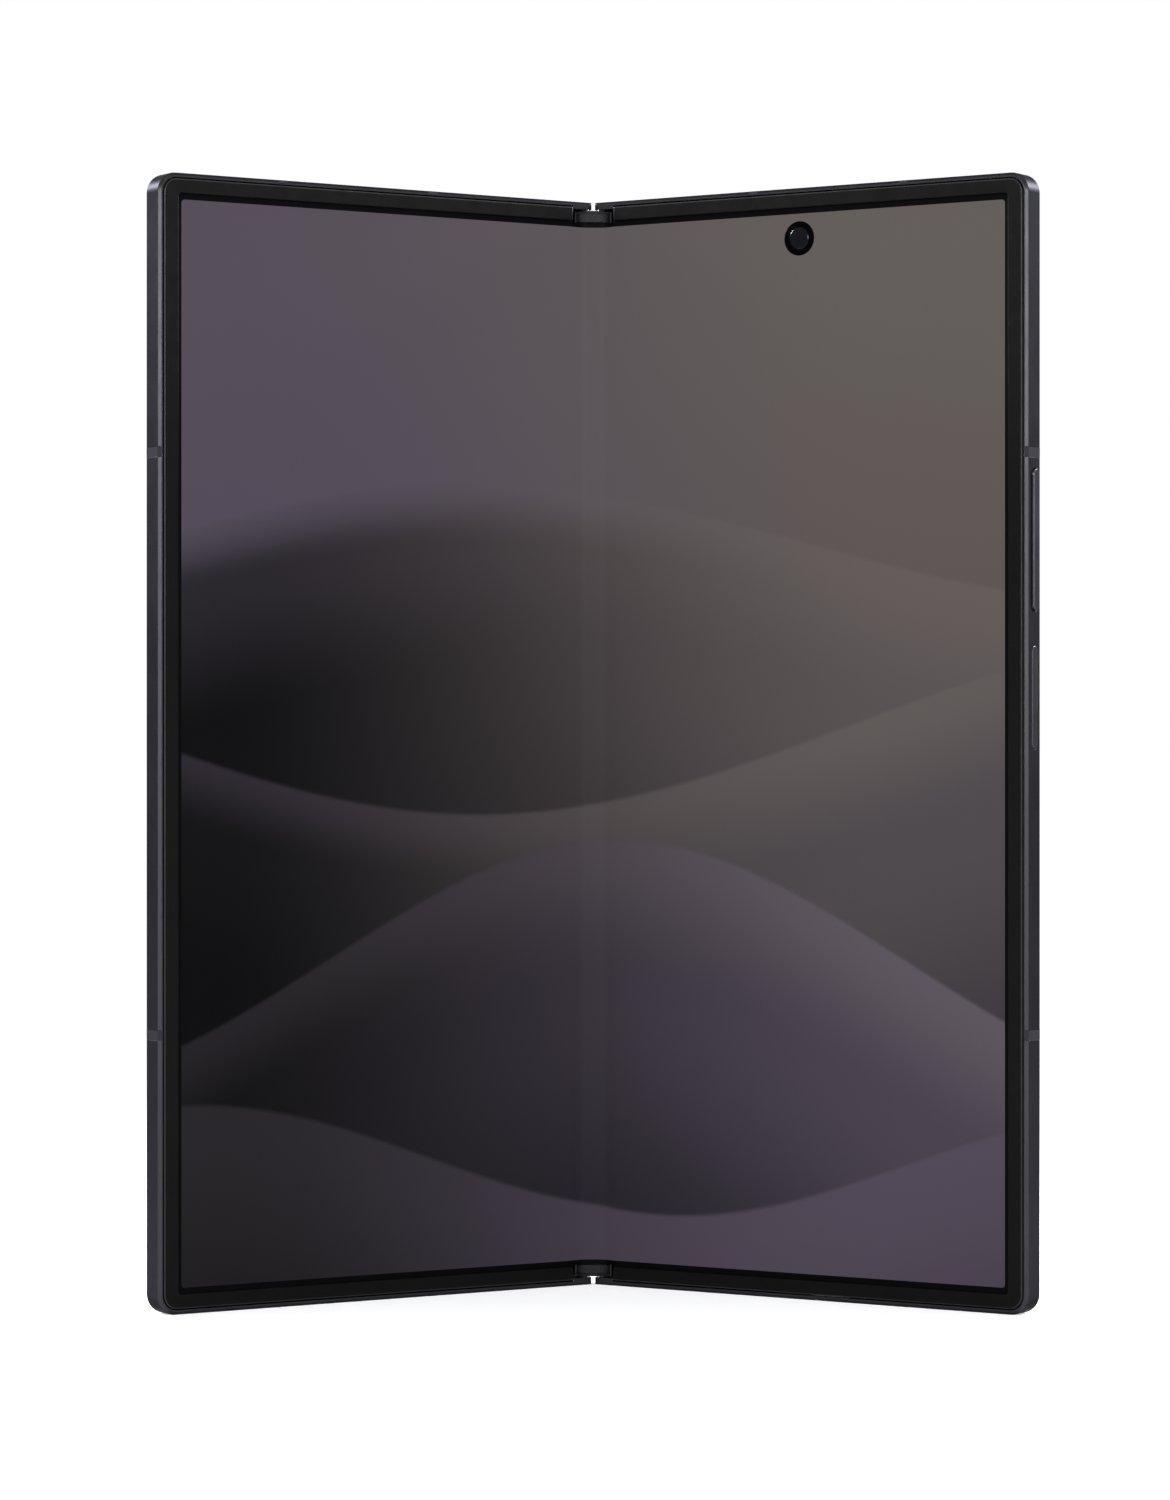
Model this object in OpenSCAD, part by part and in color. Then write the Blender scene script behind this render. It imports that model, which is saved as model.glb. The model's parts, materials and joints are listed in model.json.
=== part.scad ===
// Book-style foldable smartphone, standing on its lower edges, part open.
// Frame: +Z up along the hinge, screen towards -Y, origin under the middle of the
// outer box. Each half is drawn flat: x runs outwards from the hinge, and "up" is
// the height above the outer face, towards the screen, which is -Y.

/* [Body] */
// Height of the phone along the hinge
body_h = 158.4; // [150:0.1:170]
// Width of one half, hinge line to outer edge
half_w = 71.6; // [70:0.1:78]
// Thickness of one half
body_t = 4.2; // [4.15:0.05:4.6]
// Corner radius of the metal frame
corner_r = 2.8; // [2.4:0.1:3.2]
// Chamfer of the frame on the screen side
front_chamfer = 0.4; // [0.2:0.05:0.5]
// Chamfer of the frame on the outer side
back_chamfer = 0.5; // [0.2:0.05:0.6]
// Thickness of the frame's outer rails
rail_t = 2; // [1.8:0.1:2.4]
// Thickness of the plate that carries the inner screen
midplate_t = 0.5; // [0.4:0.05:0.6]
// Width of the plastic antenna bands
band_w = 1.4; // [0.8:0.05:2]
// Distance of the side antenna bands from mid height
band_offset_z = 40.4; // [39.5:0.1:42]
// Distance of the inner band on each end from the hinge line
inner_band_x = 27.4; // [22:0.1:29]
// Distance of the outer band on each end from the outer edge
outer_band_in = 19.7; // [17.6:0.1:21]

/* [Fold] */
// Turn of each half from flat, as the phone stands
rest_turn = 32.75; // [5:0.25:60]
// Distance of each fold axis from the middle of the hinge
axis_x = 0.8; // [0.78:0.01:0.85]
// Height of the fold axes above the outer face
axis_up = 3.65; // [3.62:0.01:3.68]
// Gap from the middle of the hinge to each half, when flat
hinge_gap = 0.3; // [0.25:0.01:0.35]
// Thickness of the frame's end walls beside the hinge
end_wall = 1.1; // [0.9:0.05:1.2]
// Radius of the spine around each fold axis
spine_r = 2; // [1.96:0.01:2.03]
// Wall of the spine cover
spine_wall = 0.35; // [0.3:0.01:0.37]
// Gap between the spine and each half
spine_gap = 0.12; // [0.1:0.01:0.2]

/* [Inner screen] */
// Thickness of the folding screen
screen_t = 0.3; // [0.2:0.01:0.32]
// Depth of the screen's face below the frame's face
screen_sink = 0.35; // [0.33:0.01:0.38]
// Length of the screen that bends, on each side of the hinge
bend_l = 4; // [3.8:0.1:4.1]
// Thickness of the metal sheets behind the screen
backing_t = 0.2; // [0.12:0.01:0.2]
// Width of the screen surround on the long side
surround_w = 2.3; // [1.9:0.05:2.8]
// Width of the screen surround on the ends
surround_end_w = 2.03; // [1.7:0.01:2.4]
// Height of the surround above the frame's face
surround_up = 0.1; // [0.05:0.01:0.12]
// Distance from the hinge line to the surround's ends
surround_start = 3.72; // [3.6:0.01:4]

/* [Keys] */
// Length of the volume key
volume_l = 19.7; // [15:0.1:20]
// Height of the volume key's middle above mid height
volume_rise = 28.3; // [27.3:0.1:28.7]
// Length of the side key
side_key_l = 14.3; // [10:0.1:15]
// Height of the side key's middle above mid height
side_key_rise = 6.45; // [0.8:0.05:6.8]
// Width of both keys, across the frame
key_w = 1.7; // [1.2:0.05:1.8]
// How far the volume key stands out of the frame
volume_out = 0.35; // [0.3:0.01:0.5]
// How far the side key stands out of the frame
side_key_out = 0.05; // [0:0.01:0.2]
// How far both keys travel when pressed
key_travel = 0.25; // [0.15:0.01:0.3]

/* [Cameras] */
// Distance of the inner camera from the hinge line
inner_cam_x = 34.9; // [30:0.1:40]
// Distance of the inner camera from the upper edge
inner_cam_down = 7.2; // [6.8:0.1:8]
// Diameter of the inner camera's window
inner_cam_d = 4.9; // [3.8:0.1:5.2]
// Width of the rear camera island
island_w = 15.6; // [15:0.1:17]
// Length of the rear camera island
island_l = 47.6; // [47:0.1:50]
// How far the island stands out of the back
island_out = 1.5; // [1:0.1:2]
// Distance of the island's middle from the outer edge
island_from_edge = 13.4; // [12:0.1:14]
// Distance of the island's middle from the upper edge
island_down = 32.4; // [31:0.1:34]
// Distance between the rear lenses
lens_pitch = 15.8; // [15:0.1:16]
// Outer diameter of each lens ring
ring_d = 13.4; // [12.4:0.1:14]
// Height of each lens ring above the island
ring_out = 0.9; // [0.5:0.1:1.2]
// Diameter of the flash window
flash_d = 4.4; // [3:0.1:5]

/* [Ports] */
// Distance of the charging socket from the hinge line
port_x = 39.6; // [38:0.1:41]
// Inner width of the charging socket
port_w = 8.34; // [8.34:0.01:8.5]
// Inner height of the charging socket
port_t = 2.5; // [2.4:0.01:2.56]
// Depth of the charging socket
port_depth = 6.7; // [6.4:0.1:7.4]
// Length of the card tray's outer face
tray_face_l = 15.6; // [15.2:0.1:17]
// Depth of the card tray
tray_depth = 20; // [18:0.5:24]
// Diameter of the tray's ejector hole
eject_d = 0.9; // [0.7:0.05:1.1]
// Distance of the first speaker hole from the outer edge
speaker_in = 15; // [14.6:0.1:15.6]
// Diameter of each speaker hole
speaker_hole_d = 1; // [0.6:0.05:1.3]
// Distance between the speaker holes
speaker_pitch = 1.7; // [1.5:0.05:1.8]
// Number of holes in each speaker row
speaker_holes = 6; // [3:1:6]

/* [Inside] */
// Thickness of the back glass and of the cover glass
glass_t = 0.5; // [0.4:0.01:0.55]
// Thickness of the cover display's panel
cover_panel_t = 0.3; // [0.2:0.01:0.35]
// Width of each battery cell
battery_w = 44; // [34:0.5:46]
// Height of each battery cell
battery_h = 66; // [50:1:67]
// Thickness of the printed boards
board_t = 0.6; // [0.4:0.05:0.7]
// Length of the magnets that hold the phone shut
magnet_l = 12; // [8:0.5:13]
// Width of the speaker boxes
speaker_w = 15.7; // [12:0.1:15.8]
// Height of the lower speaker box
lower_speaker_h = 21.7; // [15:0.1:22]
// Height of the upper speaker box
upper_speaker_h = 17.7; // [12:0.1:19]
// Radius of the charging coil
coil_r = 20.5; // [16:0.5:21.5]
// Radius of the charging coil's opening
coil_bore_r = 11; // [8:0.5:13]
// Width of the vibration motor
motor_w = 10; // [8:0.5:10]
// Height of the vibration motor
motor_h = 14; // [10:0.5:16]

/* [Hidden] */
$fn = 48;

slip = 0.05;                    // gap around parts that drop into a seat
over = 1;                       // how far a cut runs past the surface it opens

// Levels, as heights above the outer face
screen_top = body_t - screen_sink;
screen_low = screen_top - screen_t;
backing_low = screen_low - backing_t;
midplate_low = backing_low - midplate_t;
surround_top = body_t + surround_up;
surround_seat = screen_top + slip;

// Outline of the screen and its surround
side_land = 0.25;                       // flat of the frame beside the groove
end_land = 0.27;
groove_w = 0.15;                        // groove between frame and surround
land_x = half_w - front_chamfer - side_land;
recess_end = front_chamfer + end_land;
recess_r = corner_r - front_chamfer - side_land;
surround_x = land_x - groove_w;
surround_end = recess_end + groove_w;
surround_r = recess_r - groove_w;
window_x = surround_x - surround_w;
window_end = surround_end + surround_end_w;
window_r = 0.5;
screen_lap = 0.4;                       // screen under the surround's lip
screen_x = window_x + screen_lap;
screen_end = window_end - screen_lap;
leg_gap = 0.1;
band_depth = 0.5;
outer_band_x = half_w - outer_band_in;

// Seats of the glass and the cavity behind it
glass_x0 = 4.4;
glass_in = 0.95;
glass_r = corner_r - glass_in;
pocket_x = 5.4;
cavity_x0 = pocket_x + 1;
cavity_r = 1;

// Chamfers where the halves meet
inner_chamfer_x = 0.6;
inner_chamfer_up = 0.3;
lip_chamfer = 0.3;

// Spine
lip_top = axis_up - spine_r - spine_gap;
bore_r = spine_r - spine_wall;
spine_low = axis_up - spine_r;
end_gap = 0.12;                          // between the frames' end walls and the spine
spine_end = end_wall + end_gap;
rim_up = 3.15;
nose_l = 0.46;
nose_half = 2.03;
cap_half = 2.43;
cap_l = 1.69;
cap_edge_up = 3.5;
cap_crown = body_t + surround_up;
nose_crown = cap_crown - 0.2;
fold_end = spine_end + cap_l + 0.09;

// Wing plates, which turn on pins beside the spine
wing_x = axis_x + 1.4;
wing_up = axis_up - 0.49;
wing_t = 0.2;
wing_top = screen_low - slip;
wing_low = wing_top - wing_t;
wing_x0 = wing_x - 0.2;
wing_x1 = pocket_x - 0.2;
wing_hub_r = 0.28;
hub_slack = 0.07;                        // round the wing hubs
wing_pin_r = 0.15;
pin_slip = 0.02;
plate_half = axis_x + 0.9;
carrier_l = 10;
ear_l = 1.2;
ear_gap = 0.1;
notch_up = wing_up - wing_hub_r - hub_slack / 2;
carrier_in = 24;                         // end carriers' middle, from the ends
carrier_z = [carrier_in, body_h / 2, body_h - carrier_in];
screw_bite = 0.1;                        // spine wall left under the carrier screws
plate_in = 0.2;                          // plates, inside the ends of the bending screen
carrier_screw_z = 3;

// Hinge gears at both ends of the spine
gear_m = 0.075;
pinion_teeth = 8;
idler_teeth = 10;
pinion_r = gear_m * pinion_teeth / 2;
idler_r = gear_m * idler_teeth / 2;
idler_x = idler_r;
idler_up = axis_up - sqrt(pow(pinion_r + idler_r, 2) - pow(axis_x - idler_x, 2));
mesh_angle = atan2(axis_up - idler_up, axis_x - idler_x);
gear_tip = 0.7 * gear_m;
gear_root = 1.05 * gear_m;
gear_play = 0.03;
gear_t = 0.65;
gear_slack = 0.04;                       // above and below the gears, in the caps
tooth_sink = 0.03;                       // teeth, into the gear's core
gear_z1 = spine_end + cap_l - gear_slack;
gear_z0 = gear_z1 - gear_t;
pin_r = 0.28;
pin_z0 = 0.3;
idler_shaft_r = 0.15;

// Springs of the hinge
spring_x = axis_x + 0.2;
spring_up = spine_low + 0.85;
rod_r = 0.15;
rod_seat = 0.5;
spring_r = 0.4;
spring_z0 = 4;
spring_l = 8;

// Side keys
key_up = 1.95;                           // height of the keys' middle
key_gap = 0.08;
flange_t = 0.5;
flange_lap = 0.5;
flange_deep = 0.75;                      // depth of the flange's recess in the rail
flange_half = 1.15;
volume_z = body_h / 2 + volume_rise;
side_key_z = body_h / 2 + side_key_rise;
switch_t = 0.9;
switch_w = 1.2;
switch_l = 2.6;
switch_strip_t = 0.3;
switch_strip_w = 2;

// Rear cameras
island_x = half_w - island_from_edge;
island_z = body_h - island_down;
lens_z = [island_z + lens_pitch, island_z, island_z - lens_pitch];
lens_seat_r = ring_d / 2 - 1.5;
barrel_r = lens_seat_r - 0.4;
inner_cam_z = body_h - inner_cam_down;
flash_from_island = 5;
flash_x = island_x - island_w / 2 - flash_from_island;
flash_z = lens_z[0];
module_w = 11;
module_deep = 0.2;                       // rear camera modules, above the cells' underside
barrel_sink = 0.1;                       // barrels and lens glass, from the island's face
lens_glass_sink = 0.15;                  // lens glass, below its ring
inner_module_w = 7;
inner_module_sink = 0.6;
cover_module_w = 6.8;
cover_module_h = 6.4;
cover_cam_x = (cavity_x0 + half_w - rail_t) / 2;
cover_cam_down = 8;
cover_cam_z = body_h - cover_cam_down;
cover_cam_r = 1.9;
flash_out = 0.05;
part_top = midplate_low - 0.05;          // top of what lies in the cavity

// Charging socket
port_shell = 0.12;
port_up = glass_t + slip + 0.03 + port_shell + port_t / 2;
port_z0 = 0.15;
tongue_w = 6.69;
tongue_t = 0.7;
port_back = 0.4;

// Card tray, midway between the bands of its end
tray_x = (inner_band_x + outer_band_x) / 2;
tray_face_t = 2.1;
tray_face_deep = 1.2;
tray_up = 1.95;
tray_body_t = 0.9;
tray_body_w = tray_face_l - 2;
tray_z0 = 0.06;
card_w = 8.8;
card_l = 12.3;
card_z0 = 4;
card_floor = 0.25;                       // metal left under the card
eject_in = 1.8;                          // ejector hole, from the end of the tray's face
eject_deep = 3;
reader_wall = 0.4;

// Batteries and boards
cell_low = glass_t + 0.37;
battery_side = 9;                        // batteries, from the cavity's inner wall
battery_foot = 26;                       // batteries, from the lower rail
battery_x0 = cavity_x0 + battery_side;
battery_z0 = rail_t + battery_foot;
speaker_x0 = half_w - speaker_in;
speaker_gap = 1;                         // speaker boxes, from the outer rail
speaker_foot = 0.3;                      // speaker boxes, from the end rails
speaker_box_x1 = half_w - rail_t - speaker_gap;
speaker_box_x0 = speaker_box_x1 - speaker_w;
lift = 0.1;                              // speakers and motor, above the cells' underside
motor_in = 3;                            // motor, from the cavity's inner wall
motor_z0 = 6;
board_low = 1.6;
board_top = board_low + board_t;
mic_r = 0.35;
mic_from_port = 8;
mic_x = port_x - mic_from_port;
boss_r = 1.2;
screw_r = 0.4;
screw_head_r = 0.9;
screw_head_t = 0.4;
board_side = 2.4;                        // boards, from the cavity's inner wall
board_clear = 2;                         // boards, from the camera modules
board_over = 5;                          // boards, above the batteries
board_x0 = cavity_x0 + board_side;
main_board_box = [board_x0, island_x - module_w / 2 - board_clear,
                  battery_z0 + battery_h + board_over,
                  inner_cam_z - inner_module_w / 2 - board_clear];
port_board_box = [board_x0, speaker_box_x0 - 1.9 * board_clear,
                  port_depth + 0.9 * board_clear, battery_z0 - 1.5 * board_clear];
left_board_box = [board_x0, speaker_box_x0 - 1.5 * board_clear,
                  battery_z0 + battery_h + board_over,
                  body_h - rail_t - speaker_foot - upper_speaker_h - 2 * board_clear];
screw_in = 2.4;                          // board screws, from the board's edges
magnet_t = 0.8;
magnet_from_end = 14;
shield_side = 1.2;                       // shields, from the board's inner edge
shield_end = 5;                          // shields, from the board's ends
shield_gap = 1;                          // between the two shields
shield_low = glass_t + 0.2;
shield_wall = 0.15;

// The outer box, so that the origin lies under its middle
turned_front = axis_up + (half_w - front_chamfer - axis_x) * sin(rest_turn)
    + (body_t - axis_up) * cos(rest_turn);
turned_back = axis_up - (axis_x - hinge_gap - lip_chamfer) * sin(rest_turn)
    - axis_up * cos(rest_turn);
shift_y = (turned_front + turned_back) / 2;

// ---------------------------------------------------------------- placing
// Turns a half, drawn flat, about its fold axis
module turned() {
    translate([axis_x, shift_y - axis_up, 0])
        rotate(-rest_turn)
            translate([-axis_x, axis_up, 0])
                children();
}

module right() { turned() children(); }
module left() { mirror([1, 0, 0]) turned() children(); }
module spine() { translate([0, shift_y, 0]) children(); }

module both_sides() {
    children();
    mirror([1, 0, 0]) children();
}

// Copies the lower end to the upper end
module both_ends() {
    children();
    translate([0, 0, body_h]) mirror([0, 0, 1]) children();
}

module upper_end() { translate([0, 0, body_h]) mirror([0, 0, 1]) children(); }

// ---------------------------------------------------------------- shapes
// Box between two x, two heights and two z
module slab(x0, x1, up0, up1, z0, z1) {
    translate([x0, -up1, z0]) cube([x1 - x0, up1 - up0, z1 - z0]);
}

// Flat shape drawn in (x, z), as a plate between two heights
module plate(up0, up1) {
    translate([0, -up0, 0]) rotate([90, 0, 0]) linear_extrude(up1 - up0) children();
}

module rounded(x0, x1, z0, z1, r) {
    translate([x0 + r, z0]) square([x1 - x0 - 2 * r, z1 - z0]);
    translate([x0, z0 + r]) square([x1 - x0, z1 - z0 - 2 * r]);
    for (x = [x0 + r, x1 - r], z = [z0 + r, z1 - r]) translate([x, z]) circle(r);
}

// The same, with square corners towards the hinge
module half_rounded(x0, x1, z0, z1, r) {
    rounded(x0, x1, z0, z1, r);
    translate([x0, z0]) square([2 * r, z1 - z0]);
}

// Rod along z
module rod(x, up, r, z0, z1) {
    translate([x, -up, z0]) cylinder(h = z1 - z0, r = r);
}

// Disc whose axis runs through the phone's thickness
module disc(x, z, r, up0, up1) {
    translate([x, -up0, z]) rotate([90, 0, 0]) cylinder(h = up1 - up0, r = r);
}

// Block with round outer corners and chamfered outer edges
module shell_block(x0, x1, z1, up1, r, front, back) {
    translate([0, 0, r]) linear_extrude(z1 - 2 * r)
        polygon([[x0, 0], [x1 - back, 0], [x1, -back],
                 [x1, -up1 + front], [x1 - front, -up1], [x0, -up1]]);
    for (top = [0, 1]) translate([0, 0, top ? z1 - r : r]) mirror([0, 0, top ? 0 : 1]) {
        translate([x0, 0, 0]) rotate([90, 0, 90]) linear_extrude(x1 - r - x0)
            polygon([[0, 0], [0, r - back], [-back, r],
                     [-up1 + front, r], [-up1, r - front], [-up1, 0]]);
        translate([x1 - r, 0, 0]) rotate([90, 0, 0]) rotate_extrude(angle = 90)
            polygon([[0, 0], [r - back, 0], [r, back],
                     [r, up1 - front], [r - front, up1], [0, up1]]);
    }
}

// Slot with round ends, long along x or along z
module slot_x(x, up, l, t, z0, z1) {
    translate([x, -up, z0]) linear_extrude(z1 - z0) {
        square([l - t, t], center = true);
        for (side = [-1, 1]) translate([side * (l - t) / 2, 0]) circle(t / 2);
    }
}

module slot_z(z, up, l, t, x0, x1) {
    translate([x0, -up, z]) rotate([90, 0, 90]) linear_extrude(x1 - x0) {
        square([t, l - t], center = true);
        for (side = [-1, 1]) translate([0, side * (l - t) / 2]) circle(t / 2);
    }
}

// ---------------------------------------------------------------- frames
module frame_blank() {
    difference() {
        shell_block(hinge_gap, half_w, body_h, body_t, corner_r, front_chamfer, back_chamfer);
        translate([0, 0, -over]) linear_extrude(body_h + 2 * over) {
            polygon([[hinge_gap - over, -body_t + inner_chamfer_up],
                     [hinge_gap, -body_t + inner_chamfer_up],
                     [hinge_gap + inner_chamfer_x, -body_t],
                     [hinge_gap + inner_chamfer_x, -body_t - over],
                     [hinge_gap - over, -body_t - over]]);
            polygon([[hinge_gap - over, -lip_chamfer], [hinge_gap, -lip_chamfer],
                     [hinge_gap + lip_chamfer, 0], [hinge_gap + lip_chamfer, over],
                     [hinge_gap - over, over]]);
        }
    }
}

// Where the plastic bands sit in the rails
module band_cuts() {
    for (side = [-1, 1])
        slab(half_w - band_depth, half_w + over, -over, body_t + over,
             body_h / 2 + side * band_offset_z - band_w / 2,
             body_h / 2 + side * band_offset_z + band_w / 2);
    for (x = [inner_band_x, outer_band_x])
        both_ends() slab(x - band_w / 2, x + band_w / 2, -over, body_t + over,
                         -over, band_depth);
}

// Four screw places near the corners of a board
function screw_places(box) = [for (x = [box[0] + screw_in, box[1] - screw_in],
                                   z = [box[2] + screw_in, box[3] - screw_in]) [x, z]];

module frame_common(boards) {
    difference() {
        union() {
            difference() {
                frame_blank();
                band_cuts();
                // seat of the screen and its surround
                plate(backing_low, body_t + over)
                    half_rounded(surround_start - 2 * slip, land_x,
                                 recess_end, body_h - recess_end, recess_r);
                // pocket for the spine and the wing plates
                slab(-over, pocket_x, lip_top, body_t + over, end_wall, body_h - end_wall);
                // cavity behind the midplate, and the seat of the outer glass
                plate(-over, midplate_low)
                    rounded(cavity_x0, half_w - rail_t, rail_t, body_h - rail_t, cavity_r);
                plate(-over, glass_t)
                    rounded(glass_x0 - slip, half_w - glass_in + slip,
                            glass_in - slip, body_h - glass_in + slip, glass_r);
            }
            for (box = boards, p = screw_places(box))
                disc(p[0], p[1], boss_r, board_top, midplate_low + slip);
        }
        for (box = boards, p = screw_places(box))
            disc(p[0], p[1], screw_r, board_low, midplate_low + midplate_t / 2);
        // seats of the two hinge pins and of the magnets
        both_ends() rod(axis_x, axis_up, pin_r, pin_z0, end_wall + over);
        both_ends() slab(half_w - rail_t - over, half_w - rail_t + magnet_t + slip,
                         part_top - 1 - slip, part_top + slip,
                         magnet_from_end - magnet_l / 2 - slip,
                         magnet_from_end + magnet_l / 2 + slip);
    }
}

module key_cut(z, l) {
    slot_z(z, key_up, l + 2 * key_gap, key_w + 2 * key_gap,
           half_w - rail_t - over, half_w + over);
    slab(half_w - rail_t - over / 2, half_w - rail_t + flange_deep,
         key_up - flange_half - key_gap, key_up + flange_half + key_gap,
         z - l / 2 - flange_lap - 3 * key_gap, z + l / 2 + flange_lap + 3 * key_gap);
}

module speaker_cuts() {
    for (i = [0 : speaker_holes - 1])
        rod(speaker_x0 + i * speaker_pitch, key_up, speaker_hole_d / 2, -over, rail_t + over);
}

module right_frame() {
    color("dimgray") right() difference() {
        frame_common([main_board_box, port_board_box]);
        key_cut(volume_z, volume_l);
        key_cut(side_key_z, side_key_l);
        slot_x(port_x, port_up, port_w + 2 * port_shell + 2 * slip,
               port_t + 2 * port_shell + 2 * slip, -over, port_depth + over);
        speaker_cuts();
        both_ends() rod(mic_x, key_up, mic_r, -over, rail_t + over);
        disc(inner_cam_x, inner_cam_z, inner_cam_d / 2 + 2 * slip, glass_t, body_t);
    }
}

module left_frame() {
    color("dimgray") left() difference() {
        frame_common([left_board_box]);
        slot_x(tray_x, tray_up, tray_face_l + 2 * key_gap, tray_face_t + 2 * key_gap,
               -over, rail_t + over);
        upper_end() speaker_cuts();
        rod(speaker_x0, key_up, mic_r, -over, rail_t + over);
    }
}

module antenna_bands() { intersection() { frame_blank(); band_cuts(); } }
module right_antenna_bands() { color("#3a3a3f") right() antenna_bands(); }
module left_antenna_bands() { color("#3a3a3f") left() antenna_bands(); }

module magnets() {
    both_ends() slab(half_w - rail_t, half_w - rail_t + magnet_t, part_top - 1, part_top,
                     magnet_from_end - magnet_l / 2, magnet_from_end + magnet_l / 2);
}
module right_frame_magnets() { color("silver") right() magnets(); }
module left_frame_magnets() { color("silver") left() magnets(); }

// ---------------------------------------------------------------- inner screen
// L-shaped strip around three sides of a half's screen
module surround() {
    difference() {
        plate(backing_low, surround_top)
            half_rounded(surround_start, surround_x,
                         surround_end, body_h - surround_end, surround_r);
        plate(backing_low - over, surround_seat)
            translate([surround_start - over, screen_end - leg_gap])
                square([screen_x + leg_gap - surround_start + over,
                        body_h - 2 * screen_end + 2 * leg_gap]);
        plate(backing_low, surround_top + over)
            half_rounded(surround_start - over, window_x,
                         window_end, body_h - window_end, window_r);
    }
}
module right_screen_surround() { color("#242426") right() surround(); }
module left_screen_surround() { color("#242426") left() surround(); }

// Flat sheet of one half's screen, from x0 outwards
module screen_sheet(x0, up0, up1) {
    slab(x0, screen_x, up0, up1, screen_end, body_h - screen_end);
}

// Hole in the screen and the sheet behind it, for the inner camera
module camera_hole() {
    disc(inner_cam_x, inner_cam_z, inner_cam_d / 2 + slip, backing_low - over, body_t + over);
}

module right_inner_screen() {
    color("#55504f") right() difference() {
        screen_sheet(bend_l, screen_low, screen_top);
        camera_hole();
    }
}
module left_inner_screen() {
    color("#55504f") left() screen_sheet(bend_l, screen_low, screen_top);
}
module right_screen_backing() {
    color("silver") right() difference() {
        screen_sheet(pocket_x, backing_low, screen_low);
        camera_hole();
    }
}
module left_screen_backing() {
    color("silver") left() screen_sheet(pocket_x, backing_low, screen_low);
}

// A point of the bent screen: it turns from nothing at the hinge's middle to the
// full turn of its half at the end of the bend
function turn_share(t) = t * t * (3 - 2 * t);
function bent(s, up) = let (
    side = sign(s) == 0 ? 1 : sign(s),
    turn = rest_turn * turn_share(min(1, abs(s) / bend_l)),
    dx = abs(s) - axis_x,
    dy = up - axis_up
) [side * (axis_x + dx * cos(turn) - dy * sin(turn)),
   -(axis_up + dx * sin(turn) + dy * cos(turn))];
bend_steps = 12;

module inner_screen_fold() {
    color("#5f5a58") spine() translate([0, 0, fold_end]) linear_extrude(body_h - 2 * fold_end)
        polygon(concat(
            [for (i = [-bend_steps : bend_steps]) bent(i * bend_l / bend_steps, screen_top)],
            [for (i = [-bend_steps : bend_steps]) bent(-i * bend_l / bend_steps, screen_low)]));
}

// ---------------------------------------------------------------- outer faces
module glass_sheet() {
    rounded(glass_x0, half_w - glass_in, glass_in, body_h - glass_in, glass_r - slip);
}
module back_glass() {
    color("#3a3c42") right() difference() {
        plate(0, glass_t) glass_sheet();
        for (z = lens_z) disc(island_x, z, barrel_r + slip, -over, glass_t + over);
        disc(flash_x, flash_z, flash_d / 2 + slip, -over, glass_t + over);
    }
}
module cover_glass() { color("#101114") left() plate(0, glass_t) glass_sheet(); }

module cover_display_panel() {
    color("#1a1a1e") left() difference() {
        plate(glass_t, glass_t + cover_panel_t)
            rounded(cavity_x0 + 2 * slip, half_w - rail_t - 2 * slip,
                    rail_t + 2 * slip, body_h - rail_t - 2 * slip, cavity_r);
        disc(cover_cam_x, cover_cam_z, cover_cam_r + 2 * slip, 0, glass_t + over);
    }
}
module cover_camera_module() {
    color("#202024") left() {
        disc(cover_cam_x, cover_cam_z, cover_cam_r, glass_t, cell_low + 1);
        slab(cover_cam_x - cover_module_w / 2, cover_cam_x + cover_module_w / 2,
             cell_low + 1, midplate_low,
             cover_cam_z - cover_module_h / 2, cover_cam_z + cover_module_h / 2);
    }
}

// ---------------------------------------------------------------- spine
// Section of the spine: two half rounds about the fold axes with a flat between
module spine_section(r, top) {
    intersection() {
        union() {
            for (side = [-1, 1]) translate([side * axis_x, -axis_up]) circle(r);
            translate([-axis_x, -axis_up]) square([2 * axis_x, r]);
        }
        translate([-spine_r * 2, -top]) square([spine_r * 4, top]);
    }
}

module hinge_spine_cover() {
    color("#4a4a50") spine() difference() {
        translate([0, 0, spine_end]) linear_extrude(body_h - 2 * spine_end)
            spine_section(spine_r, rim_up);
        translate([0, 0, spine_end - over]) linear_extrude(body_h - 2 * spine_end + 2 * over)
            spine_section(bore_r, rim_up + over);
        for (z = carrier_z) {
            slab(-spine_r * 2, spine_r * 2, notch_up, rim_up + over,
                 z - carrier_l / 2 - ear_gap, z + carrier_l / 2 + ear_gap);
            for (side = [-1, 1]) disc(0, z + side * carrier_screw_z, screw_r / 2,
                                      spine_low + screw_bite, spine_low + 2 * spine_wall);
        }
    }
}

// Crowned top of an end cap
module crown(half, top) {
    drop = top - cap_edge_up;
    r = (half * half + drop * drop) / (2 * drop);
    intersection() {
        translate([0, r - top]) circle(r, $fn = 96);
        translate([-half, -top]) square([2 * half, top - rim_up - slip]);
    }
}

module cap_block(half, top, z0, z1) {
    translate([0, 0, z0]) linear_extrude(z1 - z0) {
        spine_section(bore_r - slip, cap_edge_up);
        crown(half, top);
    }
}

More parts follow.
